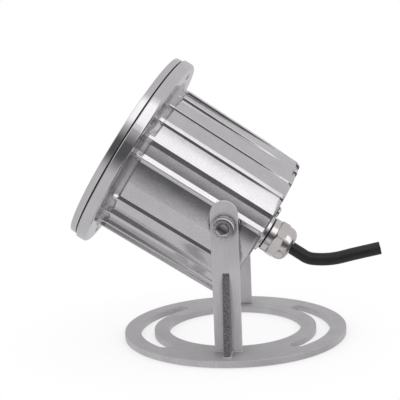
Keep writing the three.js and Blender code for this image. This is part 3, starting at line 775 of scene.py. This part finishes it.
def section_columns():
    """The ribbed section as (angle, radius, crest share) columns.

    The crest share is 1 on the outermost corners and 0 on the panels between them.
    """
    half = [(x - SECTION_DROP, y, r) for x, y, r in UPPER + [(-x, y, r) for x, y, r in LOWER]]
    outline = fillet(half + [(x, -y, r) for x, y, r in reversed(half)])
    points = []
    for i, a in enumerate(outline):
        b = outline[(i + 1) % len(outline)]
        length = math.dist(a, b)
        stops = [0.0]
        if length > 2.4:
            count = max(1, int((length - 0.9) / 1.3))
            stops += [(0.45 + (length - 0.9) * q / count) / length for q in range(count + 1)]
        elif length > 0.8:
            stops += [0.5]
        for t in stops:
            # the panels are slightly rounded
            bulge = 0.0062 * length * length * t * (1 - t) if length > 4 else 0.0
            points.append((a[0] + (b[0] - a[0]) * t + bulge * (b[1] - a[1]) / length,
                           a[1] + (b[1] - a[1]) * t - bulge * (b[0] - a[0]) / length))
    points.sort(key=lambda p: math.atan2(p[1], p[0]))
    return [(math.atan2(y, x), math.hypot(x, y), smoothstep(49.2, 50.0, math.hypot(x, y)))
            for x, y in points]


def taper_radius(column, z):
    """Radius of the ribbed body, which narrows to the rear, and a little more on top."""
    angle, radius, _ = column
    crest = CREST_REAR + (CREST_FRONT - CREST_REAR) * (z - REAR) / (FLANGE_REAR - REAR)
    top = max(0.0, math.cos(angle)) ** 2
    return radius * crest / CREST_FRONT - 0.9 * smoothstep(6.0, -22.0, z) * top


def neck_radius(z):
    if z <= NECK_Z:
        return NECK_R
    drop = math.sqrt(max(0.0, NECK_FILLET ** 2 - (z - NECK_Z) ** 2))
    return NECK_R + NECK_FILLET - drop


def body_radius(column, z):
    """The tapered body sinks into the neck: first the panels, then the crests."""
    share = column[2]
    radius = taper_radius(column, z)
    radius -= 1.35 * smoothstep(60.1, 61.3, z) * (1 - share)
    radius -= 1.3 * smoothstep(63.7, 65.2, z) * share
    return smooth_max(radius, neck_radius(z), 0.8 + 0.3 * share)


def housing_shell():
    """Closed shell: flange, outside, rear, collar bore, cavity and glass seat, in that order."""
    columns = section_columns()
    count = len(columns)
    rows = []                      # (radius of each column, z)

    def rounds(points):
        rows.extend(([r] * count, z) for r, z in points)

    quarter = [math.pi / 2 * k / 4 for k in range(5)]
    rounds((FLANGE_R - FLANGE_FRONT_ROUND + FLANGE_FRONT_ROUND * math.sin(a),
            FLANGE_FRONT - FLANGE_FRONT_ROUND + FLANGE_FRONT_ROUND * math.cos(a))
           for a in quarter)
    rounds((FLANGE_R, z) for z in (71.5, 70.5, 69.5, 68.6))
    quarter = [math.pi / 2 * k / 8 for k in range(9)]
    rounds((FLANGE_R - FLANGE_REAR_ROUND + FLANGE_REAR_ROUND * math.cos(a),
            FLANGE_REAR + FLANGE_REAR_ROUND - FLANGE_REAR_ROUND * math.sin(a))
           for a in quarter)
    rounds((r, FLANGE_REAR) for r in (60.8, 59.0, 56.0, 53.6))

    for z in [*NECK_STATIONS, *(float(z) for z in np.linspace(56.5, -18.6, 20))]:
        rows.append(([body_radius(c, z) for c in columns], z))
    quarter = [math.pi / 2 * k / 6 for k in range(7)]
    edge = [(REAR_ROUND * (1 - math.cos(a)), REAR + REAR_ROUND * (1 - math.sin(a)))
            for a in quarter]
    for inset, z in edge + [(3.2, REAR)]:
        rows.append(([taper_radius(c, z) - inset for c in columns], z))

    rounds((r, REAR) for r in (38.0, 33.0, 28, 20, 15.0, 13.8))
    rounds(fillet([(14.2, REAR), (13.0, REAR, 0.5), (13.0, -26.0, 0.4), (8.2, -26.0, 0.3),
                   (8.2, CAVITY_FLOOR, 0.3), (9.4, CAVITY_FLOOR)], closed=False)[1:])
    rounds((r, CAVITY_FLOOR) for r in (15, 25, 35, 39.6))
    rounds(fillet([(39.6, CAVITY_FLOOR), (CAVITY_R, CAVITY_FLOOR, 1.2), (CAVITY_R, 10)],
                  closed=False)[1:-1])
    rounds((CAVITY_R, z) for z in (-10, 0, 12, 24, 37.4))
    rounds(fillet([(CAVITY_R, 30), (CAVITY_R, 38.0, 0.3), (43.5, 38.0), (43.5, 67.0, 0.3),
                   (51.5, 67.0), (51.5, FLANGE_FRONT, 0.4), (60, FLANGE_FRONT)],
                  closed=False)[1:-1])
    rounds((r, FLANGE_FRONT) for r in (53.5, 56, 59, 61.8))

    verts = [(r * math.cos(c[0]), r * math.sin(c[0]), z)
             for radii, z in rows for c, r in zip(columns, radii)]
    faces = []
    for i in range(len(rows)):
        here, following = i * count, (i + 1) % len(rows) * count
        for k in range(count):
            j = (k + 1) % count
            faces.append((here + k, here + j, following + j, following + k))
    return verts, faces


def housing_face(centre, normal):
    """0 cast, 1 turned, 2 the neck behind the flange, darkened with painted shade."""
    r, z = math.hypot(centre.x, centre.y), centre.z
    flange = z > 65.5 and r > 52.6
    collar = r < 13.6 and z < -22.0
    glass_seat = z > 66.5 and 43.6 < r < 52 and normal.z > -0.5
    side_boss = abs(centre.y) > 48.9 and abs(normal.y) > 0.9
    if flange or collar or glass_seat or side_boss:
        return 1
    if 61.0 < z < 65.95 and 44.0 < r < 55.0 and not (r > 49.3 and z < 64.6):
        return 2
    return 0


SIXTHS = range(0, 360, 60)
BEZEL_SCREWS = around(56.0, SIXTHS)
SPREADER_SCREWS = around(37.8, (60, 180, 300))
DRIVER_SCREWS = around(27, (45, 180, 315))
VENT = [(18.6, -26)]


def build_housing():
    side_boss = turned([(0, 43.6), (9.0, 43.6), (9.0, 49.1, 0.5), (0, 49.1)], 64)
    inner_boss = turned([(0, 35), (8.0, 35, 0.6), (8.0, 43.6), (0, 43.6)], 48)
    lug = turned([(0, 24), (4, 24), (4, 38.0, 0.3), (0, 38.0)], 32)
    pillar = turned([(0, -18.3), (3.5, -18.3), (3.5, -3.0, 0.3), (0, -3.0)], 32)
    side_tap = lathe([(0, 36.5), (4.1, 36.5), (4.1, 48.6), (4.6, 49.2), (4.6, 51), (0, 51)], 40)
    flange_hole = lathe([
        (0, FLANGE_REAR - 2), (2.95, FLANGE_REAR - 2), (2.95, FLANGE_REAR),
        (2.5, FLANGE_REAR + 0.45), (2.5, 72.6), (2.9, 73.0), (2.9, 75), (0, 75)], 32)
    lug_pilot = lathe([(0, 28), (1.45, 28), (1.45, 40), (0, 40)], 16)
    pillar_pilot = lathe([(0, -12), (1.45, -12), (1.45, -2), (0, -2)], 16)
    vent_hole = lathe([(0, -30), (2.2, -30), (2.2, -10), (0, -10)], 32)
    lamp_piece(
        "housing_casting", housing_shell(), [CAST_STEEL, TURNED_STEEL, SHADED_NECK_STEEL],
        "cast_steel", "housing",
        adds=[both_sides(side_boss), both_sides(inner_boss),
              merge(copies(lug, SPREADER_SCREWS), copies(pillar, DRIVER_SCREWS))],
        cut=merge(both_sides(side_tap), copies(flange_hole, BEZEL_SCREWS),
                  copies(lug_pilot, SPREADER_SCREWS), copies(pillar_pilot, DRIVER_SCREWS),
                  copies(vent_hole, VENT)),
        smooth=38, by_face=housing_face)


build_housing()


# --------------------------------------------------------------- front closure
def build_front():
    countersink = lathe([(0, 72), (2.7, 72), (2.7, 75.5), (5.0, 77.75), (5.2, 77.95), (5.2, 79),
                         (0, 79)], 48)
    bezel = turned_ring([(46.5, 73.9), (62.9, 73.9, 0.2), (62.55, 77.9, 0.55), (47.9, 77.9, 0.2),
                         (46.5, 76.5, 0.3)], 192)
    lamp_piece("bezel_plate", bezel, BEZEL_STEEL, "turned_steel", "bezel_ring",
               cut=copies(countersink, BEZEL_SCREWS))

    gasket = turned_ring([(46.8, 73.05), (62.35, 73.05, 0.2), (62.35, 73.85, 0.2),
                          (46.8, 73.85)], 160, steps=3)
    hole = lathe([(0, 72), (2.6, 72), (2.6, 75), (0, 75)], 24)
    lamp_piece("flange_gasket_sheet", gasket, RUBBER, "black_rubber", "flange_gasket",
               cut=copies(hole, BEZEL_SCREWS))

    seal = turned_ring([(44.2, 67.05, 0.2), (51.0, 67.05, 0.2), (51.0, 67.95, 0.2),
                        (44.2, 67.95, 0.2)], 128)
    lamp_piece("glass_seal_ring", seal, SILICONE, "silicone", "glass_seal")

    rim = fillet([(0, 68.0), (51.0, 68.0, 0.5), (51.0, 73.0, 0.5), (0, 73.0)], closed=False)
    glass = [(0, 68.0), (25, 68.0)] + rim[1:-1] + [(25, 73.0), (0, 73.0)]
    lamp_piece("front_glass", lathe(glass, 144), GLASS, "clear_glass", "lens_glass")


def build_bezel_screws():
    key_r = hex_radius(3)
    key = lathe([(0, 75.3), (key_r, 75.9), (key_r, 79), (0, 79)], 6)
    screw = turned([(0, 67.6), (2.0, 67.6), (2.3, 67.95), (2.3, 75.2), (4.78, 77.55, 0.1),
                    (4.78, 77.78, 0.08), (0, 77.8)], 40)
    for i, (x, y) in enumerate(BEZEL_SCREWS):
        turn = Matrix.Rotation(rad(17 * i + 11), 4, "Z")     # each stopped at its own angle
        lamp_piece(f"csk_screw_{i + 1}", shifted(screw, x, y), BOLT_STEEL, "bolt_steel",
                   f"bezel_screw_{i + 1}", cut=shifted(moved(key, turn), x, y))


build_front()
build_bezel_screws()

# -------------------------------------------------------------- pivot hardware
# z runs outwards from the middle plane
HEAD_Z, HEAD_H, HEAD_R = 55.3, 8.0, 6.5       # cap screw head
KNURL_DEPTH, KNURL_COUNT = 0.16, 40
KEY_R = hex_radius(6.0)
WASHER_Z, WASHER_RISE = 54.2, 0.13            # split washer, its ends shifted by the rise
WASHER_STEPS, WASHER_HALF_GAP = 96, 5.0       # half gap in degrees


def knurl(r, z, angle):
    if r > 6.2 and HEAD_Z + 0.9 < z < HEAD_Z + 7.0:
        return -KNURL_DEPTH * (0.5 + 0.5 * math.cos(angle * KNURL_COUNT))
    return 0.0


def cap_screw():
    profile = fillet([(0, 37.5), (3.9, 37.5, 0.6), (3.9, HEAD_Z), (HEAD_R, HEAD_Z, 0.25),
                      (HEAD_R, HEAD_Z + HEAD_H, 0.7), (0, HEAD_Z + HEAD_H)],
                     closed=False, steps=5)
    # extra rings on the side of the head carry the knurl
    side_start = 1 + max(i for i, (r, z) in enumerate(profile)
                         if abs(r - HEAD_R) < 1e-6 and z < HEAD_Z + 1)
    profile[side_start:side_start] = [(HEAD_R, HEAD_Z + h)
                                      for h in (0.8, 1.1, 2.5, 4, 5.5, 6.8, 7.1)]
    return lathe(profile, 160, knurl)


def split_washer():
    section = fillet([(4.2, -0.85, 0.15), (7.2, -0.85, 0.2), (7.2, 0.85, 0.25),
                      (4.2, 0.85, 0.15)], steps=2)
    count = len(section)
    verts, faces = [], []
    for k in range(WASHER_STEPS + 1):
        a = rad(WASHER_HALF_GAP + (360 - 2 * WASHER_HALF_GAP) * k / WASHER_STEPS)
        lift = WASHER_Z + WASHER_RISE * (2 * k / WASHER_STEPS - 1)
        verts.extend((r * math.cos(a), r * math.sin(a), z + lift) for r, z in section)
    for k in range(WASHER_STEPS):
        here, following = k * count, (k + 1) * count
        for i in range(count):
            j = (i + 1) % count
            faces.append((here + i, here + j, following + j, following + i))
    last = WASHER_STEPS * count
    return verts, faces + [tuple(range(count)), tuple(range(last, last + count))]


# faces deep in the hex socket take the darker steel: painted shade
def socket_face(centre, normal):
    deep = HEAD_Z + 2 < abs(centre.y) < HEAD_Z + 7.75
    return 1 if math.hypot(centre.x, centre.z) < 3.55 and deep else 0


def build_pivot_hardware():
    key = lathe([(0, HEAD_Z + 3.1), (KEY_R * 0.86, HEAD_Z + 3.9), (KEY_R, HEAD_Z + 4.1),
                 (KEY_R, HEAD_Z + 9.5), (0, HEAD_Z + 9.5)], 6)
    key = moved(key, Matrix.Rotation(rad(12), 4, "Z"))
    mouth = lathe([(0, HEAD_Z + 7.3), (3.05, HEAD_Z + 7.3), (3.85, HEAD_Z + 8.1),
                   (3.85, HEAD_Z + 9), (0, HEAD_Z + 9)], 48)
    flat_washer = turned_ring([(4.6, 49.2, 0.1), (8.8, 49.2, 0.2), (8.8, 49.95, 0.2),
                               (4.6, 49.95, 0.1)], 80, steps=3)
    for tag, outwards in (("right", TO_RIGHT), ("left", TO_LEFT)):
        obj = raw(moved(cap_screw(), outwards), "cap_screw_" + tag)
        boolean(obj, moved(key, outwards), "DIFFERENCE")
        boolean(obj, moved(mouth, outwards), "DIFFERENCE")
        finish_piece(obj, LAMP, "lamp_head", [BOLT_STEEL, SHADED_SOCKET_STEEL], "bolt_steel",
                     "pivot_screw_" + tag, smooth=32, by_face=socket_face)
        lamp_piece("split_washer_" + tag, moved(split_washer(), outwards), BOLT_STEEL,
                   "bolt_steel", "spring_washer_" + tag)
        lamp_piece("nylon_washer_" + tag, moved(flat_washer, outwards), PLASTIC,
                   "black_plastic", "friction_washer_" + tag)


build_pivot_hardware()


# --------------------------------------------------------------- gland and vent
def build_gland():
    collar = turned_ring([
        (6.7, -37.5), (9.0, -37.5, 0.3), (9.0, -31.2), (11.0, -31.2, 0.4), (11.0, -27.0, 0.5),
        (7.9, -27.0), (7.9, -12.9, 0.5), (4.4, -12.9, 0.2), (4.4, -31.0), (6.7, -31.0)], 112)
    lamp_piece("gland_collar", collar, NICKEL, "nickel_brass", "gland_body")
    o_ring = [(9.65 + 1.15 * math.cos(t), -26.47 + 0.43 * math.sin(t))
              for t in np.linspace(0, 2 * math.pi, 17)[:-1]]
    lamp_piece("gland_ring_seal", lathe(o_ring, 96), RUBBER, "black_rubber", "gland_o_ring")


def hex_prism(across_flats, turn, z0, z1):
    corners = around(2 * across_flats / 2 / math.sqrt(3), [d + turn for d in SIXTHS])
    outline = fillet([(x, y, 0.5) for x, y in corners])
    count = len(outline)
    verts = [(x, y, z) for z in (z0, z1) for x, y in outline]
    faces = [tuple(range(count)), tuple(range(count, 2 * count))]
    for i in range(count):
        j = (i + 1) % count
        faces.append((i, j, count + j, count + i))
    return verts, faces


def build_dome_nut():
    """Domed hexagon nut: a turned blank, cut to its flats and then bored."""
    blank = [(0, -44.0), (6.2, -44.0)] + arc(5.6, -38.6, 5.4, -76, 0, 12) + [
        (11.0, -37.15), (11.15, -36.95), (12.3, -36.4), (12.5, -36.0), (12.5, -32.3),
        (11.5, -31.35), (0, -31.35)]
    bore = lathe([
        (0, -46), (4.9, -46), (4.9, -44.2), (4.5, -43.7), (4.5, -41.5), (5.8, -41.5),
        (7.5, -38.7), (7.5, -38.2), (9.25, -38.2), (9.25, -30), (0, -30)], 64)
    nut = raw(lathe(blank, 144), "dome_nut")
    boolean(nut, hex_prism(across_flats=22, turn=-12.8, z0=-46, z1=-30), "INTERSECT")
    boolean(nut, bore, "DIFFERENCE")
    finish_piece(nut, LAMP, "lamp_head", NICKEL, "nickel_brass", "gland_dome_nut", smooth=28)


def build_vent():
    seal = turned_ring([(2.3, -22.9, 0.2), (3.9, -22.9, 0.3), (3.9, -21.9, 0.2),
                        (2.3, -21.9, 0.1)], 40, steps=3)
    lamp_piece("vent_ring_seal", copies(seal, VENT), RUBBER, "black_rubber", "vent_plug_seal")
    plug = turned([(0, -24.5), (2.4, -24.5, 0.6), (3.6, -23.9, 0.5), (3.6, -23.0, 0.2),
                   (1.95, -23.0), (1.95, -16.6, 0.3), (0, -16.6)], 48)
    key_r = hex_radius(2.5)
    key = lathe([(0, -23.3), (key_r, -23.5), (key_r, -28), (0, -28)], 6)
    lamp_piece("vent_screw", copies(plug, VENT), BOLT_STEEL, "bolt_steel", "vent_plug",
               cut=copies(key, VENT))


build_gland()
build_dome_nut()
build_vent()

# ----------------------------------------------------------------------- cable
CABLE_R = 3.95
CABLE_LEAD = 2.2                   # straight run past the flex joint
# the tail's centre line: (x from the ring centre, z)
TAIL = [(48.7, 46.6), (56.8, 45.95), (64.3, 46.55), (76.0, 49.2), (91.6, 52.6)]
CORE_X = 1.42                      # cores to either side of the cable's axis
STRANDS = [(0, 0)] + around(0.47, range(60, 361, 60))


def cable_path():
    straight = [PIVOT / MM + LAMP_AXIS * s for s in np.linspace(-14.2, -52.8, 34)]
    joint_x, joint_z = FLEX.x / MM, FLEX.z / MM
    lead = (joint_x + CABLE_LEAD * -LAMP_AXIS.x, 0, joint_z + CABLE_LEAD * -LAMP_AXIS.z)
    tail = catmull([(joint_x, 0, joint_z), lead] + [(x + CENTRE_X, 0, z) for x, z in TAIL], 14)
    return [tuple(p) for p in straight] + [tuple(p) for p in tail[1:]]


def build_cable(path):
    cable = raw(sweep(path, CABLE_R, 36), "supply_cable")
    cable.data.materials.append(CABLE_RUBBER)
    shade_smooth(cable.data, 50)
    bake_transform(cable)
    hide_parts("cable_stub", "cable_tail")


def build_cores(path):
    """Two cores with bare strands, just showing at the cut end of the cable."""
    end = Vector(path[-1])
    along = (end - Vector(path[-2])).normalized()
    side = Vector((0, 1, 0))
    end_frame = basis(side, along.cross(side).normalized(), along, end * MM)
    core = turned([(0, -4), (1.25, -4), (1.25, 0.10, 0.08), (0.72, 0.10), (0.72, 0.04),
                   (0, 0.04)], 28, steps=2)
    strand = turned([(0, -3), (0.24, -3), (0.24, 0.14, 0.06), (0, 0.14)], 12, steps=2)
    for i, (x, material) in enumerate(((-CORE_X, CORE_BROWN), (CORE_X, CORE_BLUE)), start=1):
        piece(f"cable_core_{i}", shifted(core, x), end_frame, "cable_tail", material)
        strands = copies(strand, [(x + across, y) for across, y in STRANDS])
        piece(f"core_strands_{i}", strands, end_frame, "cable_tail", COPPER)


cable_points = cable_path()
build_cable(cable_points)
build_cores(cable_points)


# ------------------------------------------------------------------- internals
def build_optic():
    """Clear plate with a skirt, and six collimator cones with low domes."""
    skirt = fillet([(0, 57.5), (40.8, 57.5, 0.6), (40.8, 42.4), (42.8, 42.4), (42.8, 60, 0.5),
                    (0, 60)], closed=False)
    disc = [(0, 57.5), (20, 57.5)] + skirt[1:-1] + [(20, 60), (0, 60)]
    cone = [(0, 46.8), (3.0, 46.8), (4.4, 46.9)]
    cone += [(4.4 + 5.2 * (t ** 0.75), 46.9 + 11.1 * t) for t in np.linspace(0.08, 1, 9)]
    cone += [(9.6, 58.6), (0, 58.6)]
    dome = [(0, 59.6), (9.2, 59.6), (9.2, 60.25), (8.9, 60.5), (8.4, 60.5), (8.1, 60.25)]
    dome += [(7.9 * math.cos(t), 60.2 + 1.1 * math.sin(t))
             for t in np.linspace(0.1, math.pi / 2 - 0.05, 7)]
    dome += [(0, 61.3)]
    places = around(21, range(30, 390, 60))
    lamp_piece("optic_plate", lathe(disc, 128), ACRYLIC, "clear_acrylic", "lens_array",
               adds=[copies(lathe(cone, 48), places), copies(lathe(dome, 48), places)],
               smooth=40)


CAD_LOOK = {
    "heat_spreader": ALUMINIUM, "thermal_pad": PAD, "led_board": BOARD_WHITE,
    "driver_board": BOARD_GREEN, "inductor": COIL, "capacitor": SLEEVE,
    "terminal_block": TERMINAL, "gland_locknut": NICKEL, "gland_seal_insert": RUBBER,
    "gland_clamp_cage": PLASTIC, "supply_wire_pos": WIRE_RED, "led_lead_pos": WIRE_RED,
    "supply_wire_neg": WIRE_BLACK, "led_lead_neg": WIRE_BLACK,
    **{f"spreader_screw_{i}": BOLT_STEEL for i in (1, 2, 3)},
    **{f"driver_screw_{i}": BOLT_STEEL for i in (1, 2, 3)},
    **{f"led_{i}": PHOSPHOR for i in range(1, 7)},
}


def dress_cad_pieces():
    """The inner pieces keep their CAD shape; all but the wires get softened edges."""
    for name, material in CAD_LOOK.items():
        obj = frame["nodes"][name]
        obj.data.materials.clear()
        obj.data.materials.append(material)
        if not name.startswith(("supply", "led_lead")):
            bevel = obj.modifiers.new("edge", "BEVEL")
            bevel.width = 0.00012
            bevel.segments = 2
            bevel.limit_method = "ANGLE"
            bevel.angle_limit = rad(40)


build_optic()
dress_cad_pieces()

# ------------------------------------------------------- studio: world, floor
# seen in reflections: a pale room with a long soft box and a dark side, both bands along the
# lamp axis; angles in degrees about that axis, from the lamp's upper side towards -Y
ROOM_LEVEL = 0.60
SOFT_BOX = dict(level=1.25, at=38, half=10, feather=14)
DARK_SIDE = dict(level=0.10, at=86, half=6, feather=26)
FRONT_LEVELS = (0.42, 0.80)        # what the glass side reflects, low and high
REAR_LEVELS = (0.13, 0.62)         # what the rear reflects, low and high
FILL_LEVELS = (0.44, 0.60)         # diffuse light from below and from above


def build_world():
    world = bpy.data.worlds.new("studio")
    bpy.context.scene.world = world
    w = Nodes(world, output="OutputWorld")
    direction = w.node("TexCoord").outputs["Generated"]
    to_up = w.vector_math("DOT_PRODUCT", direction, tuple(LAMP_UP))
    to_right = w.vector_math("DOT_PRODUCT", direction, (0, -1, 0))
    to_front = w.vector_math("DOT_PRODUCT", direction, tuple(LAMP_AXIS))
    angle = w.math("MULTIPLY", w.math("ARCTAN2", to_right, to_up), 180 / math.pi)
    height = w.separate(direction)[2]

    def with_band(color, level, at, half, feather):
        offset = w.math("ABSOLUTE", w.math("SUBTRACT", angle, at))
        share = w.remap(offset, half + feather, half, smooth=True)
        return w.mix(share, color, grey(level))

    def by_height(low, high, levels):
        return w.mix(w.remap(height, low, high, smooth=True), grey(levels[0]), grey(levels[1]))

    room = with_band(grey(ROOM_LEVEL), **SOFT_BOX)
    room = with_band(room, **DARK_SIDE)
    room = w.mix(w.remap(to_front, 0.45, 0.85, smooth=True), room,
                 by_height(-0.2, 0.9, FRONT_LEVELS))
    room = w.mix(w.remap(to_front, -0.80, -0.93, smooth=True), room,
                 by_height(-0.35, 0.55, REAR_LEVELS))
    fill = by_height(-0.8, 0.8, FILL_LEVELS)

    path = w.node("LightPath").outputs
    mirror = w.math("MAXIMUM", path["Is Glossy Ray"], path["Is Transmission Ray"])
    lit = w.node("Background")
    w.put(lit.inputs[0], w.mix(mirror, fill, room))
    white = w.node("Background")
    w.put(white.inputs[0], grey(1))
    w.finish(w.mix_shader(path["Is Camera Ray"], lit, white))


def floor_material():
    """White by itself, darkened by what stands near: a tight shadow and a wide one."""
    s = Nodes(bpy.data.materials.new("pale_floor"))
    tight = s.remap(s.occlusion(distance=0.022), 0.1, 1.0, to_low=0.80, to_high=1.0)
    wide = s.remap(s.occlusion(distance=0.10), 0.0, 1.0, to_low=0.90, to_high=1.0)
    mottle = s.remap(s.noise(s.coords(), scale=9, detail=2), 0.3, 0.7, to_low=0.998, to_high=1.0)
    emission = s.node("Emission")
    s.put(emission.inputs[0], s.math("MULTIPLY", s.math("MULTIPLY", tight, wide), mottle))
    return s.finish(emission)


def build_floor():
    material = floor_material()
    bpy.ops.mesh.primitive_circle_add(vertices=96, radius=3.0, fill_type="TRIFAN",
                                      location=(0, 0, -0.00015))
    floor = bpy.context.object
    floor.name = "floor"
    floor.data.materials.append(material)
    floor.visible_glossy = False
    floor.visible_diffuse = False
    floor.visible_shadow = False
    floor.visible_transmission = False


build_world()
build_floor()
bpy.context.scene.view_settings.view_transform = "Standard"
bpy.context.scene.view_settings.look = "None"

# --------------------------------------------------------------------- camera
ELEVATION, AZIMUTH, ROLL = rad(9.119), rad(6.554), rad(-2.382)
CAMERA_DISTANCE = 576.653
AIM_HEIGHT = 80                    # aim point above the ring centre, before it is shifted
AIM_RIGHT, AIM_UP = -19.043, 5.426            # shift of the aim point across the view


def build_camera():
    back = Vector((math.sin(AZIMUTH) * math.cos(ELEVATION),
                   -math.cos(AZIMUTH) * math.cos(ELEVATION), math.sin(ELEVATION)))
    right = Vector((math.cos(AZIMUTH), math.sin(AZIMUTH), 0))
    up = back.cross(right)
    target = right * AIM_RIGHT + up * AIM_UP + Vector((CENTRE_X, 0, AIM_HEIGHT))
    data = bpy.data.cameras.new("camera")
    data.sensor_width = 36
    data.lens = 83.13
    data.clip_start, data.clip_end = 0.01, 20
    camera = bpy.data.objects.new("camera", data)
    bpy.context.scene.collection.objects.link(camera)
    camera.matrix_world = basis(right * math.cos(ROLL) + up * math.sin(ROLL),
                                right * -math.sin(ROLL) + up * math.cos(ROLL),
                                back, (target + back * CAMERA_DISTANCE) * MM)
    bpy.context.scene.camera = camera


build_camera()
